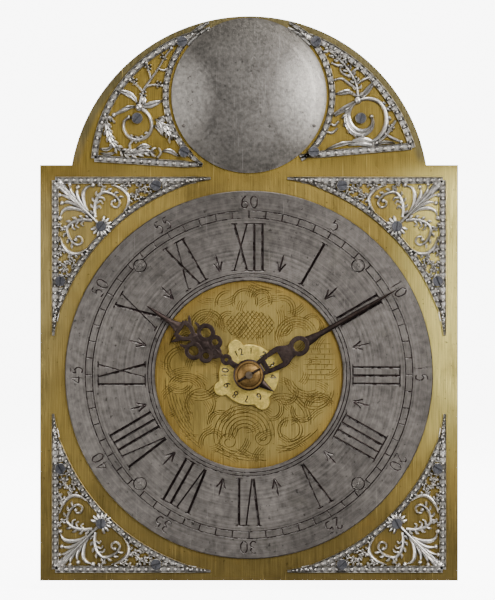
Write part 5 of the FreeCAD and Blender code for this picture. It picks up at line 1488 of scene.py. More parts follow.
@dataclass
class CornerSpandrels(Relief):
    """Four cast corner ornaments, drawn once for the upper right by distances from its outer corner."""

    ring_radius: float = 84.7
    ring_sweep: Point = (16.4, 73.6)
    edge_bend: float = 57.0
    edge_tip: Point = (67.6, 0.65)
    screw_places: Knots = ((21.08, 21.08), (44.4, 3.67), (3.67, 44.4))
    tip_rows: int = 6
    tip_start: float = 48.6
    tip_pitch: float = 1.9
    tip_ground: Knots = ((47.0, 2.6), (61.5, 1.6))
    tip_ends: Widths = (57.6, 59.8, 61.8, 63.6, 65.2)
    shaft: Widths = (19.4, 14.0, 8.0, 2.4)
    rib: Widths = (17.5, 11.0, 5.0)
    rib_offset: float = 0.55
    fronds: tuple[tuple[Knots, float], ...] = (
        (((17.6, 16.8), (14.4, 12.8), (13.4, 7.8), (14.6, 4.8), (17.6, 3.6)), 1.2),
        (((16.4, 15.6), (12.6, 11.4), (10.8, 7.4), (11.2, 4.4)), 1.1),
        (((14.4, 13.6), (10.4, 9.4), (8.2, 6.0), (7.8, 3.4)), 1.0),
        (((12.0, 11.2), (8.2, 7.4), (5.6, 4.6), (4.6, 3.2)), 0.9))
    scroll: Knots = ((18.6, 17.2), (18.3, 13.0), (19.4, 9.0), (21.8, 6.6), (24.8, 7.0), (27.6, 8.6),
                     (29.0, 11.0), (27.8, 13.0), (25.8, 12.4), (25.6, 10.6), (26.8, 10.2))
    scroll_widths: Widths = (0.95, 1.05, 0.9, 0.75, 0.65, 0.6, 0.55)
    scroll_fringed: int = 7
    spurs: tuple[Knots, ...] = (((18.6, 13.6), (20.2, 12.6), (21.0, 13.6)),
                                ((18.9, 11.2), (20.9, 10.4), (21.8, 11.6)),
                                ((20.2, 8.8), (22.0, 9.0), (22.6, 10.2)))
    plume: Knots = ((25.4, 3.4), (29.6, 5.0), (32.6, 8.0), (32.6, 11.8), (30.6, 15.0))
    tendrils: tuple[tuple[Knots, float], ...] = (
        (((33.0, 8.4), (36.0, 7.4), (38.4, 5.0), (41.8, 4.2)), 0.6),
        (((34.4, 8.2), (36.6, 9.4), (39.0, 8.8)), 0.5),
        (((36.4, 7.0), (37.4, 5.2), (36.6, 3.2)), 0.5),
        (((38.6, 5.2), (40.6, 6.4), (42.4, 6.6)), 0.5),
        (((29.6, 4.6), (32.0, 3.8), (34.4, 2.6)), 0.55),
        (((22.6, 6.2), (22.0, 4.4), (20.4, 3.0)), 0.55))
    petals: int = 5
    petal_start: float = 62
    petal_step: float = 26

    def place(self, a: float, b: float) -> Point:
        """A place by its distance from the outer corner, along the top and down the side."""
        box = dial_box("corner_spandrel_upper_right")
        return box[1] - a, box[3] - b

    def both(self, *knots: Point) -> list[Path]:
        """A line and its twin across the diagonal."""
        return [[self.place(a, b) for a, b in knots], [self.place(b, a) for a, b in knots]]

    def borders(self) -> None:
        """Beaded borders along the top, the side and the ring."""
        half = self.strip_half
        for start, bend, tip in self.both((half, half), (self.edge_bend, half), self.edge_tip):
            edge = straight(start, bend, 42)[:-1] + straight(bend, tip, 8)
            self.border(edge, (1.0,) * 7 + (0.35,))
        radius = self.ring_radius + half
        ring = sweep_arc(AXIS, (radius, radius), self.ring_sweep, 60)
        self.border(ring, (0.7,) + (0.94,) * 8 + (0.7,), 0.92)

    def tips(self) -> None:
        """Rows of beads between the borders towards both tips."""
        lip = 2 * self.strip_half
        for row in range(self.tip_rows):
            a = self.tip_start + self.tip_pitch * row
            u, v = self.place(a, lip)
            room = v - math.sqrt(max(0.0, (self.ring_radius + lip) ** 2 - u ** 2))
            if room < 0.5:
                continue
            count = max(1, round(room / self.tip_pitch))
            for index in range(count):
                for path in self.both((a, lip + room * (index + 0.5) / count)):
                    self.sketch.bead(path[0], self.tip_bead, 0.5, 1.2)
        for first, last in self.both(*self.tip_ground):
            self.sketch.strip(straight(first, last, 8), (2.6, 1.0), (0.55,), Section.FLAT)
        for index, a in enumerate(self.tip_ends):
            for path in self.both((a, 1.75 - 0.2 * index)):
                self.sketch.bead(path[0], 0.9 - 0.09 * index, 0.4, 1.4 - 0.1 * index)

    def leaf_to_corner(self) -> None:
        """The shaft on the diagonal with its ribs and fronds."""
        shaft = smooth([self.place(a, a) for a in self.shaft], 8)
        self.sketch.strip(shaft, (0.75, 0.8, 0.95, 1.5, 2.4), (1.3, 1.4, 1.2, 1.1), Section.ROUND)
        for offset in (self.rib_offset, -self.rib_offset):
            shifts = [(a, offset * (0.4 + (19 - a) * 0.07)) for a in self.rib]
            self.stem([self.place(a + shift, a - shift) for a, shift in shifts], (0.2, 0.3, 0.4), 1.25)
        for knots, width in self.fronds:
            for path in self.both(*knots):
                self.leaf(path, width, 0.95, Section.ROUND)
                self.sketch.bead(path[-1], width * 0.95, 0.0, 1.6)

    def foliage(self) -> None:
        """Scrolls, plumes and tendrils on both sides of the diagonal."""
        for path, side in zip(self.both(*self.scroll), (1, -1)):
            self.stem(path, self.scroll_widths, 1.15)
            self.fringe(path[:self.scroll_fringed], 2.5, 2.7, 44 * side)
            self.sketch.bead(path[-1], 0.95, 0.0, 1.75)
        for knots in self.spurs:
            for path in self.both(*knots):
                self.stem(path, (0.75, 0.6, 0.4), 0.95)
        for path, side in zip(self.both(*self.plume), (1, -1)):
            self.sketch.strip(smooth(path, 7), (0.25, 0.8, 1.0, 0.75, 0.3), (1.3, 1.6, 1.4), Section.ROUND)
            self.fringe(path, 2.4, 2.0, 52 * side)
        for knots, width in self.tendrils:
            for path in self.both(*knots):
                self.stem(path, (width, width * 1.3, width * 0.6))
                for lean in (-46, 46):
                    self.fringe(path, 2.2, 1.5, lean)
                self.sketch.bead(path[-1], width * 1.3, 0.0, 1.5)

    def rosette(self) -> None:
        """Petals round the middle screw, and the seats of all screws."""
        middle = self.place(*self.screw_places[0])
        for side in (-1, 1):
            for index in range(self.petals):
                turn = 45 + side * (self.petal_start + self.petal_step * index)
                path = [clock_place(radius, turn, middle) for radius in (1.6, 3.0, 4.6)]
                self.sketch.strip(path, (0.55, 0.95, 0.5), (1.5, 1.8, 1.0), Section.ROUND)
        for a, b in self.screw_places:
            self.seat(self.place(a, b))

    def build(self) -> None:
        """Cast one corner and turn it over for the other three."""
        self.borders()
        self.tips()
        self.leaf_to_corner()
        self.foliage()
        self.rosette()
        left = self.sketch.mirrored(LEFT_RIGHT)
        corners = {"upper_right": self.sketch, "upper_left": left,
                   "lower_right": self.sketch.mirrored(UP_DOWN), "lower_left": left.mirrored(UP_DOWN)}
        for name, corner in corners.items():
            self.cast(corner, "spandrel_cast_" + name, "corner_spandrel_" + name)


class Side(Enum):
    """Sides of the boss."""

    RIGHT = "right"
    LEFT = "left"


@dataclass
class ArchSpandrel(Relief):
    """Cast ornament beside the boss, with the sizes of the one on its right."""

    side: Side = Side.RIGHT
    arch_radius: float = 74.0
    arch_centre: Point = ARCH_CENTRE
    arch_sweep: Point = (12.5, 73.6)
    boss_radius: float = 34.0
    boss_sweep: Point = (29.0, 141.0)
    foot: tuple[Point, Point] = ((20.0, 91.6), (69.2, 95.8))
    foot_start: float = 1.5
    screw_places: Knots = ((47.61, 109.19), (28.5, 141.82), (27.58, 94.9))
    node: Point = (46.4, 116.8)
    outer_scroll: Knots = ((50.4, 117.6), (54.6, 116.6), (57.6, 113.4), (58.6, 108.6), (57.4, 103.8),
                           (54.4, 100.4), (51.0, 98.6))
    outer_widths: Widths = (0.7, 0.9, 1.0, 1.15, 1.2, 1.0, 0.7)
    inner_scroll: Knots = ((43.6, 114.4), (42.0, 110.8), (42.4, 106.8), (44.8, 103.8), (48.4, 103.0),
                           (51.4, 104.4), (52.8, 107.4), (52.2, 110.0))
    inner_widths: Widths = (0.7, 1.0, 1.6, 1.9, 1.5, 0.9, 0.5)
    stems: tuple[tuple[Knots, Widths], ...] = (
        (((46.4, 116.8), (46.0, 122.6), (43.8, 127.6), (40.4, 132.2), (36.4, 136.2), (33.0, 139.0)),
         (0.75, 0.85, 0.95, 0.85, 0.7)),
        (((46.2, 121.6), (42.8, 123.8), (39.6, 126.0), (36.8, 125.6)), (0.6, 0.8, 0.7, 0.5)),
        (((43.6, 127.6), (41.2, 127.6), (39.0, 129.4), (39.4, 131.6), (41.0, 131.6)), (0.6, 0.7, 0.6, 0.5)),
        (((40.6, 132.0), (38.0, 131.6), (35.4, 132.6)), (0.5, 0.8, 0.5)),
        (((45.6, 123.6), (48.4, 125.4), (50.6, 126.4)), (0.6, 0.8, 0.7)),
        (((43.4, 128.2), (45.0, 129.6), (46.2, 130.4)), (0.6, 0.8, 0.6)),
        (((39.0, 133.2), (40.2, 133.9), (41.0, 134.3)), (0.6, 0.8, 0.6)),
        (((35.0, 137.2), (35.8, 137.4), (36.4, 137.4)), (0.6, 0.8, 0.5)),
        (((57.6, 112.6), (60.0, 114.0), (61.2, 113.0)), (0.6, 0.8, 0.6)),
        (((62.4, 108.2), (60.4, 105.0), (58.0, 101.6), (54.4, 98.8)), (0.7, 0.9, 0.8, 0.6)),
        (((58.4, 102.2), (61.4, 100.6), (64.8, 99.2)), (0.6, 0.9, 0.6)),
        (((38.2, 108.0), (36.6, 106.2), (34.8, 106.8)), (0.6, 0.8, 0.5)),
        (((37.8, 105.0), (35.4, 103.0), (33.2, 103.4)), (0.6, 0.8, 0.5)))
    joints: Knots = ((45.2, 125.4), (41.0, 131.6), (37.0, 135.8), (60.4, 105.2))
    joint_beads: int = 5
    bars: tuple[tuple[Point, Point], ...] = (((48.0, 118.0), (52.8, 123.9)), ((44.8, 115.8), (36.4, 110.6)))
    leaves: tuple[tuple[Knots, float], ...] = (
        (((45.8, 118.4), (42.6, 120.4), (39.6, 120.0), (36.4, 119.4)), 1.35),
        (((47.0, 99.0), (42.4, 98.8), (37.4, 97.6), (32.4, 95.6)), 1.15),
        (((42.2, 97.6), (46.4, 99.2), (50.6, 99.0), (54.8, 97.2)), 2.5),
        (((53.6, 97.4), (57.6, 99.0), (62.4, 98.6)), 0.9))
    wedge: Knots = ((16.5, 147.7), (20.0, 146.1), (24.0, 143.8), (27.0, 141.8))
    wedge_halves: Widths = (0.45, 1.1, 2.1, 2.6)
    wedge_height: float = 0.7
    tip_rows: int = 8
    tip_start: float = 13.0
    tip_step: float = 1.7
    tip_pitch: float = 1.8

    def borders(self) -> None:
        """Beaded borders along the arch, the boss and the foot."""
        half = self.strip_half
        outer, inner = self.arch_radius - half, self.boss_radius + half
        arch = sweep_arc(self.arch_centre, (outer, outer), self.arch_sweep, 60)
        self.border(arch, (0.35,) + (1.0,) * 7, 1.12)
        round_boss = sweep_arc(BOSS_CENTRE, (inner, inner), self.boss_sweep, 60)
        self.border(round_boss, (0.4,) + (0.9,) * 7 + (0.45,), 1.1)
        (u0, v0), (u1, v1) = self.foot
        foot = straight((u0 + self.foot_start, v0 + half), (u1, v1 + half), 40)
        self.border(foot, (0.4,) + (1.0,) * 6, 1.12)

    def scroll(self) -> None:
        """The large scroll round the middle screw."""
        outer, inner = (self.node, *self.outer_scroll), (self.node, *self.inner_scroll)
        self.sketch.strip(smooth(outer, 8), self.outer_widths, (1.5, 1.7, 1.8, 1.6), Section.ROUND)
        self.sketch.strip(smooth(inner, 8), self.inner_widths, (1.4, 1.6, 1.7, 1.5), Section.LEAF)
        self.sketch.bead(inner[-1], 0.95, 0.0, 1.9)
        self.sketch.turned(self.node, [(1.6, 0.0), (1.5, 1.5), (0.9, 2.1), (0.3, 2.25)], 14)
        self.fringe(inner[1:6], 2.7, 3.0, 46)
        self.fringe(outer[2:], 3.2, 2.6, -46)

    def sprigs(self) -> None:
        """Stems that end in a bead, and clusters of beads at their joints."""
        for knots, widths in self.stems:
            self.stem(knots, widths, 1.1)
            self.sketch.bead(knots[-1], widths[-1] * 1.35, 0.0, 1.6)
        for place in self.joints:
            for index in range(self.joint_beads):
                turn = FULL_TURN / self.joint_beads * index + 20
                self.sketch.bead(clock_place(1.25, turn, place), 0.62, 0.0, 1.75)
            self.sketch.bead(place, 0.7, 0.0, 2.0)

    def foliage(self) -> None:
        """Sprigs, bars and leaves between scroll and borders."""
        for lean in (-44, 44):
            self.fringe(self.stems[0][0], 3.0, 2.8, lean)
        self.sprigs()
        for first, last in self.bars:
            self.sketch.strip(straight(first, last, 6), (0.9, 1.2, 0.9), (1.5,), Section.LEAF)
        for knots, width in self.leaves:
            self.leaf(knots, width, 1.05)

    def tip(self) -> None:
        """Ground and beads between the borders towards the top, and the seats of the screws."""
        self.sketch.strip(smooth(self.wedge, 6), self.wedge_halves, (self.wedge_height,), Section.ROUND,
                          ground=True)
        outer = self.arch_radius - 2 * self.strip_half
        for row in range(self.tip_rows):
            degrees = self.tip_start + self.tip_step * row
            edge = clock_place(outer, degrees, self.arch_centre)
            room = math.dist(edge, BOSS_CENTRE) - self.boss_radius - 2 * self.strip_half
            count = max(0, round(room / self.tip_pitch))
            for index in range(count):
                place = clock_place(outer - room * (index + 0.5) / count, degrees, self.arch_centre)
                self.sketch.bead(place, self.tip_bead, 0.0, 1.5)
        for place in self.screw_places:
            self.seat(place)

    def build(self) -> None:
        """Cast the ornament, turned over on the left side."""
        self.borders()
        self.scroll()
        self.foliage()
        self.tip()
        placed = self.sketch if self.side is Side.RIGHT else self.sketch.mirrored(LEFT_RIGHT)
        self.cast(placed, "arch_cast_" + self.side.value, "arch_spandrel_" + self.side.value)


@dataclass
class LeftArchSpandrel(ArchSpandrel):
    """Cast ornament to the left of the boss, with its own scroll; drawn on the right and turned over."""

    side: Side = Side.LEFT
    arch_radius: float = 61.7
    arch_centre: Point = (5.8, 87.4)
    arch_sweep: Point = (9.5, 85.5)
    boss_sweep: Point = (29.0, 146.0)
    foot: tuple[Point, Point] = ((18.4, 87.7), (65.8, 90.6))
    node: Point = (46.8, 113.9)
    ring: Knots = ((43.4, 111.6), (41.5, 107.6), (41.9, 103.6), (44.4, 100.9), (48.2, 100.0), (51.6, 101.8),
                   (53.3, 104.9), (53.0, 108.0), (51.2, 109.6))
    stems: tuple[tuple[Knots, Widths], ...] = (
        (((46.8, 113.9), (45.4, 119.6), (43.9, 122.7), (41.2, 126.6), (38.4, 130.7), (35.4, 135.8),
          (33.0, 139.0)), (0.9, 0.8, 0.6, 0.6)),
        (((45.2, 120.0), (47.2, 122.8), (50.6, 125.6)), (0.6, 0.7, 0.6)),
        (((44.0, 122.5), (40.6, 123.4), (37.0, 123.1)), (0.6, 0.7, 0.6)),
        (((41.8, 126.2), (42.6, 129.2), (43.6, 132.8)), (0.6, 0.7, 0.6)),
        (((38.6, 130.4), (36.4, 129.6), (34.6, 130.4)), (0.5, 0.7, 0.5)),
        (((51.4, 113.4), (54.4, 112.2), (57.4, 110.6)), (0.8, 1.0, 0.8)),
        (((38.6, 96.6), (37.5, 94.6), (38.8, 92.6)), (0.5, 0.8, 0.5)),
        (((49.4, 99.8), (50.8, 97.8), (50.2, 95.4)), (0.6, 0.9, 0.7)),
        (((61.4, 109.0), (59.2, 109.6), (57.4, 107.6)), (0.6, 0.8, 0.5)))
    joints: Knots = ((45.0, 119.6), (48.8, 124.9), (38.6, 123.7), (42.8, 131.0), (36.4, 135.2), (47.8, 100.2))
    leaves: tuple[tuple[Knots, float], ...] = (
        (((47.4, 115.2), (49.4, 118.2), (52.4, 120.0), (56.4, 121.0)), 1.7),
        (((47.6, 114.2), (50.6, 113.9), (53.6, 112.6), (57.0, 110.4)), 1.3),
        (((46.0, 114.4), (43.2, 114.6), (40.4, 115.4), (36.6, 116.8)), 1.9),
        (((46.4, 114.8), (45.0, 116.6), (44.8, 119.0)), 1.7),
        (((60.4, 111.6), (60.6, 107.0), (59.4, 101.6), (56.8, 97.2), (53.0, 94.6)), 2.1),
        (((57.4, 97.6), (60.6, 95.9), (63.6, 96.3)), 1.1),
        (((56.4, 94.8), (60.0, 93.8), (63.4, 94.5)), 1.0),
        (((54.6, 94.4), (49.6, 94.1), (44.6, 95.0), (39.6, 94.5)), 2.2),
        (((48.4, 96.0), (45.0, 97.4), (41.4, 97.0)), 1.3),
        (((37.0, 95.2), (33.6, 95.2), (29.6, 92.8)), 1.3),
        (((40.0, 109.0), (37.4, 106.8), (34.6, 103.6), (32.4, 99.8)), 2.3),
        (((40.4, 106.2), (38.2, 104.4), (36.4, 101.4)), 1.2),
        (((38.8, 109.2), (36.6, 109.4), (35.2, 108.4)), 1.1))
    broad: float = 2.0

    def scroll(self) -> None:
        """A small round scroll about the middle screw."""
        ring = (self.node, *self.ring)
        widths = (0.9, 0.9, 0.85, 0.8, 0.95, 0.85, 0.75, 0.6)
        self.sketch.strip(smooth(ring, 8), widths, (1.5, 1.7, 1.7, 1.4), Section.ROUND)
        self.sketch.bead(ring[-1], 1.0, 0.0, 1.8)
        self.sketch.turned(self.node, [(1.7, 0.0), (1.6, 1.5), (0.9, 2.1), (0.3, 2.25)], 14)
        self.fringe(ring[3:7], 2.6, 2.0, -50)

    def foliage(self) -> None:
        """Sprigs, and leaves of which the broad ones are fringed."""
        self.sprigs()
        for knots, width in self.leaves:
            if width < self.broad:
                self.leaf(knots, width * 0.9, 0.95)
                continue
            self.leaf(knots, width * 0.7, 0.95)
            for lean in (-36, 36):
                self.fringe(knots, 2.8, width * 1.5, lean)


# Alarm disc, hands and fasteners of the dial

@dataclass
class AlarmDisc:
    """Lobed setting disc with cut hours."""

    radius: float = 12.8
    lobe: float = 3.2
    lobe_circle: float = 13.0
    lobe_degrees: Widths = (64.0, 154.0, 244.0, 334.0)
    bore: float = 4.6
    back: float = 0.8
    thickness: float = 1.2
    edge: float = 0.18
    rows: int = 180
    number_foot: float = 8.9
    number_height: float = 2.8
    number_shift: float = -25.0
    number_degrees: float = 30.0
    stroke: Stroke = Stroke(0.26, 0.22)

    def edge_radius(self, degrees: float) -> float:
        """Radius of the lobed edge.

        Args:
            degrees: clockwise angle from the top.

        Returns:
            The radius there.
        """
        best = self.radius
        for lobe in self.lobe_degrees:
            turn = math.radians(degrees - lobe)
            inside = self.lobe ** 2 - (self.lobe_circle * math.sin(turn)) ** 2
            if inside > 0 and math.cos(turn) > 0:
                best = max(best, self.lobe_circle * math.cos(turn) + math.sqrt(inside))
        return best

    def build(self) -> None:
        """Cut the disc and put it on the alarm pipe."""
        front = self.back + self.thickness
        turns = [FULL_TURN * index / self.rows for index in range(self.rows)]
        rings = []
        for shrink, w in ((0.0, self.back), (0.0, front - self.edge), (self.edge, front)):
            rings.append([(*clock_place(self.edge_radius(turn) - shrink, turn), w) for turn in turns])
        sketch = Sketch()
        sketch.rings(rings)
        disc = sketch.mesh("alarm_disc_cut", ALARM_BRASS)
        hole = Sketch()
        hole.turned(AXIS, [(self.bore, self.back - 1.0), (self.bore, front + 1.0)], 40)
        graver = Graver(front)
        for hour in range(1, 13):
            turn = self.number_degrees * hour + self.number_shift
            graver.number(str(hour), self.number_foot, turn, self.number_height, self.stroke)
        engrave(disc, [hole, *graver.sketches()], WAX)
        stand_for(disc, CUT_ANGLE, "alarm_set", ALARM_BRASS.slot, "alarm_disc")


@dataclass
class Hand:
    """What both hands share: a forged and filed blade on a hub, drawn along its own line."""

    node: str
    body: str
    degrees: float
    bore: float
    hub: float
    thickness: float = 1.0
    edge: float = 0.12
    loop_steps: int = 28
    sketch: Sketch = field(default_factory=Sketch)

    def at(self, along_hand: float, aside: float = 0.0) -> Point:
        """A place by its distance along the hand and to its right."""
        turn = math.radians(self.degrees)
        return (along_hand * math.sin(turn) + aside * math.cos(turn),
                along_hand * math.cos(turn) - aside * math.sin(turn))

    def back(self) -> float:
        """The w of the hand's back face."""
        return (DIAL_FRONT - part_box(self.node)[1][1]) / MM

    def blade(self, places: Sequence[Point], widths: Sequence[float], drop: float = 0.0,
              section: Section = Section.FLAT) -> None:
        """A filed bar through places along the hand.

        Args:
            places: (along, aside) knots.
            widths: half widths from end to end.
            drop: how much lower its face lies than the hand's.
            section: form of the cross-section.
        """
        knots = [self.at(*place) for place in places]
        path = smooth(knots, 6) if len(knots) > 2 else straight(knots[0], knots[1], 10)
        self.sketch.strip(path, widths, (self.thickness - drop,), section, self.back())

    def loop(self, middle: Point, radii: Point, half: float, drop: float = 0.0) -> None:
        """An open loop with a round outline.

        Args:
            middle: (along, aside) of its middle.
            radii: middle radius along the hand and across it.
            half: half the width of its rim.
            drop: how much lower its face lies than the hand's.
        """
        path = []
        for index in range(self.loop_steps):
            turn = 2 * math.pi * index / self.loop_steps
            path.append(self.at(middle[0] + radii[0] * math.cos(turn), middle[1] + radii[1] * math.sin(turn)))
        self.sketch.strip(path, (half,), (self.thickness - drop,), Section.FLAT, self.back(), closed=True)

    def forge(self) -> None:
        """Draw the hand's own pieces."""
        raise NotImplementedError

    def build(self) -> None:
        """Forge the hand and put it on its pipe."""
        self.loop(AXIS, ((self.hub + self.bore) / 2,) * 2, (self.hub - self.bore) / 2, 0.04)
        self.forge()
        hand = self.sketch.mesh(self.node + "_forged", HAND_IRON)
        soften(hand, self.edge, FILED_ANGLE)
        stand_for(hand, FILED_ANGLE, self.body, HAND_IRON.slot, self.node)


@dataclass
class HourHand(Hand):
    """Hour hand with four open loops, barbs and a pointed tail."""

    def forge(self) -> None:
        """Neck, loops, barbs, blade and tail."""
        self.blade([(5.0, 0.0), (10.4, 0.0)], (1.5, 1.0))
        self.loop((11.6, 0.0), (1.55, 1.55), 0.85, 0.02)
        self.blade([(12.8, 0.0), (18.4, 0.0)], (0.95, 1.5), 0.03)
        self.blade([(17.6, 0.0), (24.0, 0.0), (30.6, 0.0)], (1.4, 2.4, 2.5, 1.6), 0.05)
        for side in (-1, 1):
            self.loop((19.7, 3.5 * side), (2.2, 2.2), 0.9, 0.01)
            self.loop((25.2, 4.65 * side), (3.05, 2.95), 0.95, 0.0)
            self.blade([(14.6, 0.0), (16.0, 1.5 * side), (17.8, 2.4 * side)], (0.5, 0.8, 0.6), 0.06)
            self.blade([(29.4, 1.2 * side), (32.0, 3.0 * side), (35.4, 3.4 * side)], (0.9, 1.0, 0.9), 0.02)
            self.blade([(32.4, 2.6 * side), (33.6, 4.6 * side), (35.2, 6.8 * side)], (1.1, 0.9, 0.2), 0.04)
            self.blade([(28.0, 4.2 * side), (29.6, 5.4 * side), (31.6, 5.6 * side)], (0.8, 0.7, 0.3), 0.06)
        self.blade([(29.8, -1.8), (29.8, 1.8)], (0.8,), 0.03)
        self.blade([(35.4, -3.6), (35.4, 3.6)], (0.9,), 0.03)
        self.blade([(35.2, 0.0), (38.0, 0.0), (41.0, 0.0), (46.0, 0.0), (52.4, 0.0)],
                   (3.3, 2.1, 1.45, 1.1, 0.85, 0.2), 0.0, Section.ROUND)
        self.blade([(-5.0, 0.0), (-12.8, 0.0)], (2.3, 0.2), 0.0, Section.ROUND)


@dataclass
class MinuteHand(Hand):
    """Minute hand with an open square, a loop and a long blade."""

    def forge(self) -> None:
        """Frame, neck, loop and blade."""
        for side in (-1, 1):
            self.blade([(4.0, 2.2 * side), (9.0, 3.0 * side), (15.4, 3.6 * side), (17.4, 2.9 * side)],
                       (0.8, 0.95, 1.15, 1.0), 0.01)
        self.blade([(8.0, -3.0), (8.0, 3.0)], (1.1,), 0.03)
        self.blade([(15.2, 0.0), (17.4, 0.0), (19.6, 0.0), (22.2, 0.0)], (4.4, 4.5, 3.7, 3.0, 2.8), 0.04)
        self.loop((24.6, 0.0), (3.5, 3.3), 1.0, 0.0)
        self.blade([(27.2, 0.0), (32.0, 0.0), (37.0, 0.0), (56.0, 0.0), (71.9, 0.0)],
                   (2.5, 1.7, 1.15, 0.98, 0.2), 0.0, Section.ROUND)


@dataclass
class Collet:
    """Turned collet in front of the minute hand."""

    profile: Knots = ((5.9, 7.0), (6.0, 7.25), (6.0, 7.9), (5.8, 8.15), (5.2, 8.2), (5.0, 7.95), (4.75, 8.2),
                      (3.8, 8.5), (2.8, 8.75), (2.1, 8.85))

    def build(self) -> None:
        """Turn the collet and put it on the centre arbor."""
        sketch = Sketch()
        sketch.turned(AXIS, self.profile, 56)
        collet = sketch.mesh("hand_collet_turned", COLLET_BRASS)
        stand_for(collet, TURNED_ANGLE, "centre", COLLET_BRASS.slot, "hand_collet")


@dataclass
class DialRivets:
    """Riveted feet of the ring and the boss, filed nearly flush."""

    ring_circle: float = 65.6
    ring_degrees: tuple[int, ...] = (45, 135, 225, 315)
    radius: float = 2.5
    stand: float = 0.1
    boss_inset: float = 2.4
    boss_degrees: tuple[int, ...] = (115, 245)
    boss_profile: Knots = ((0.8, 1.1), (0.65, 1.28), (0.25, 1.33))

    def build(self) -> None:
        """Domed rivet heads with a cut line round each, and tails behind the plate."""
        tail = -(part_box("dial_rivets")[1][1] - DIAL_FRONT) / MM
        front, radius, stand = RING_THICKNESS, self.radius, self.stand
        head = [(radius, tail), (radius, front - 0.1), (radius - 0.15, front + stand * 0.2),
                (radius - 0.45, front - 0.12), (radius - 0.7, front + stand * 0.6), (0.9, front + stand),
                (0.7, front - 0.1), (0.3, front + stand * 0.8)]
        sketch = Sketch()
        for degrees in self.ring_degrees:
            sketch.turned(clock_place(self.ring_circle, degrees), head, 28)
        for degrees in self.boss_degrees:
            place = clock_place(BOSS_RADIUS - self.boss_inset, degrees, BOSS_CENTRE)
            sketch.turned(place, [(self.boss_profile[0][0], tail), *self.boss_profile], 16)
        rivets = sketch.mesh("dial_rivets_filed", SILVER)
        stand_for(rivets, FILED_ANGLE, "frame", DIAL_BRASS.slot, "dial_rivets")


@dataclass
class Movement:
    """CAD pieces that keep their shape: broken edges and a finish of their own."""

    finishes: tuple[Finish, ...] = (HAND_IRON, COLLET_BRASS, STEEL, PLATE_BRASS, BELL_METAL, BLACK_IRON)
    darker: dict[str, Finish] = field(default_factory=lambda: {
        "spandrel_screws": SCREW_GREY, "hand_pin": HAND_IRON, "centre_arbor": ARBOR_STEEL})
    edges: dict[str, float] = field(default_factory=lambda: {
        "hand_iron": 0.22, "collet_brass": 0.15, "steel": 0.18, "movement_brass": 0.16, "bell_metal": 0.2,
        "black_iron": 0.5})

    def build(self, replaced: set[str]) -> None:
        """Dress every node that no other piece stands for.

        Args:
            replaced: nodes that another piece stands for.
        """
        by_slot = {finish.slot: finish for finish in self.finishes}
        for part in frame["record"]["subparts"]:
            node, slot = part["node"], part["material_slot"]
            if node in replaced:
                continue
            obj = frame["nodes"][node]
            finish = self.darker.get(node, by_slot[slot])
            obj.data.materials.clear()
            obj.data.materials.append(finish.material())
            soften(obj, self.edges[slot])
            log.info("%s dressed as %s", node, finish.name)


# Stage, lights and camera

class Lamp(Enum):
    """Soft lights of the studio: place, aim, size in metres, and power in watts."""

    KEY = ((0.75, -1.25, 0.45), (0.02, -0.1, -0.05), 0.8, 26.0)
    FILL = ((-0.95, -1.2, -0.25), (0.0, -0.1, -0.08), 0.9, 14.0)
    TOP = ((0.1, -0.45, 1.25), (0.0, -0.1, 0.0), 0.7, 9.0)
    BACK_LEFT = ((-0.9, 0.9, 0.7), (0.0, 0.0, -0.05), 0.8, 16.0)
    BACK_RIGHT = ((0.9, 0.8, 0.5), (0.0, 0.0, -0.05), 0.8, 16.0)


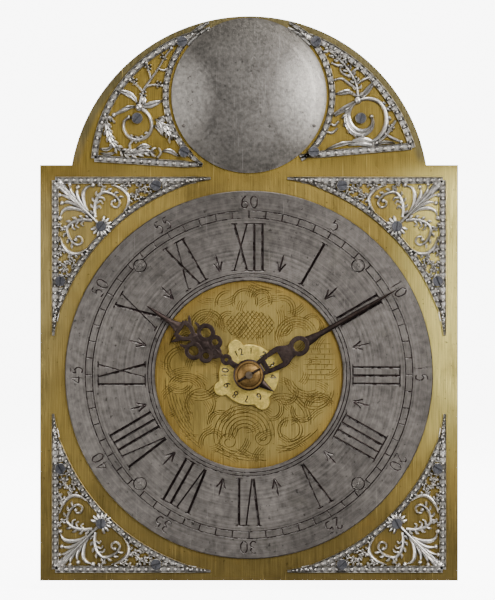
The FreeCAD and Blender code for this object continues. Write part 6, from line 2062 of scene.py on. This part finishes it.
@dataclass
class Studio:
    """Pale floor and backdrop, soft lights and a camera square to the dial."""

    image_width: float = 495.0
    image_height: float = 600.0
    dial_pixels: float = 418.0
    axis_pixel: Point = (249.0, 374.7)
    distance: float = 1.6
    sensor: float = 36.0
    floor_drop: float = 0.004
    sheet: float = 12.0
    glow: float = 8.0
    paper: Colour = (0.9, 0.9, 0.9)
    paper_roughness: float = 0.9
    white: Colour = (1.0, 1.0, 1.0)
    surround: float = 0.26

    def pale(self, name: str) -> bpy.types.Material:
        """A plain pale paper finish.

        Args:
            name: name of the material.

        Returns:
            The material.
        """
        made = bpy.data.materials.new(name)
        made.use_nodes = True
        shader = made.node_tree.nodes["Principled BSDF"]
        for key, value in (("Base Color", (*self.paper, 1.0)), ("Roughness", self.paper_roughness),
                           ("Emission Color", (*self.white, 1.0)), ("Emission Strength", self.glow)):
            shader.inputs[key].default_value = value
        return made

    def sheet_of(self, name: str, corners: Sequence[Corner], faces: Sequence[Sequence[int]],
                 casts: bool) -> None:
        """A flat sheet of the stage that lights nothing.

        Args:
            name: name of the sheet.
            corners: its corners in metres.
            faces: its faces.
            casts: whether it keeps light off what lies behind it.
        """
        data = bpy.data.meshes.new(name)
        data.from_pydata(list(corners), [], [list(face) for face in faces])
        obj = bpy.data.objects.new(name, data)
        bpy.context.scene.collection.objects.link(obj)
        data.materials.append(self.pale(name + "_paper"))
        obj.visible_diffuse = False
        obj.visible_glossy = False
        obj.visible_shadow = casts

    def stage(self) -> None:
        """Pale floor, and pale walls far around it."""
        half, low = self.sheet / 2, CAD_BOX[0][2] - self.floor_drop
        ground = [(-half, -half, low), (half, -half, low), (half, half, low), (-half, half, low)]
        self.sheet_of("floor", ground, [(0, 1, 2, 3)], True)
        walls = ground + [(x, y, low + half) for x, y, _ in ground]
        self.sheet_of("walls", walls, [(i, (i + 1) % 4, (i + 1) % 4 + 4, i + 4) for i in range(4)], False)

    def lights(self) -> None:
        """Soft boxes and an even surround."""
        for lamp in Lamp:
            place, aim, size, power = lamp.value
            data = bpy.data.lights.new(lamp.name.lower(), "AREA")
            data.shape = "DISK"
            data.size = size
            data.energy = power
            obj = bpy.data.objects.new(lamp.name.lower(), data)
            obj.location = place
            obj.rotation_euler = (Vector(aim) - Vector(place)).to_track_quat("-Z", "Y").to_euler()
            bpy.context.scene.collection.objects.link(obj)
        world = bpy.data.worlds.new("surround")
        world.use_nodes = True
        sky = world.node_tree.nodes["Background"]
        sky.inputs["Color"].default_value = (*self.white, 1.0)
        sky.inputs["Strength"].default_value = self.surround
        bpy.context.scene.world = world

    def camera(self) -> None:
        """A long lens square to the dial, framed as the picture is."""
        scale = half_extent("dial_plate", 0) * 2 * MM / self.dial_pixels
        data = bpy.data.cameras.new("camera")
        data.sensor_fit = "VERTICAL"
        data.sensor_height = self.sensor
        data.lens = self.sensor * self.distance / (self.image_height * scale)
        obj = bpy.data.objects.new("camera", data)
        x = HAND_AXIS_X + (self.image_width / 2 - self.axis_pixel[0]) * scale
        z = HAND_AXIS_Z + (self.axis_pixel[1] - self.image_height / 2) * scale
        obj.location = (x, DIAL_FRONT - self.distance, z)
        obj.rotation_euler = (math.pi / 2, 0.0, 0.0)
        bpy.context.scene.collection.objects.link(obj)
        bpy.context.scene.camera = obj

    def build(self) -> None:
        """Set up stage, lights and camera."""
        self.stage()
        self.lights()
        self.camera()


def main() -> None:
    """Build every sub-assembly in order."""
    logging.basicConfig(level=logging.INFO, format="%(name)s: %(message)s")
    DialPlate().build()
    ChapterRing().build()
    ArchBoss().build()
    CornerSpandrels().build()
    ArchSpandrel().build()
    LeftArchSpandrel().build()
    DialRivets().build()
    AlarmDisc().build()
    HourHand("hour_hand", "hour", degrees=304.0, bore=HOUR_PIPE, hub=HOUR_PIPE + 1.8).build()
    MinuteHand("minute_hand", "centre", degrees=60.0, bore=CANNON_PIPE, hub=CANNON_PIPE + 4.3).build()
    Collet().build()
    replaced = {"dial_plate", "chapter_ring", "arch_boss", "dial_rivets", "alarm_disc", "hour_hand",
                "minute_hand", "hand_collet"}
    replaced |= {node for node in frame["nodes"] if "_spandrel_" in node}
    Movement().build(replaced)
    Studio().build()


if __name__ == "__main__":
    main()
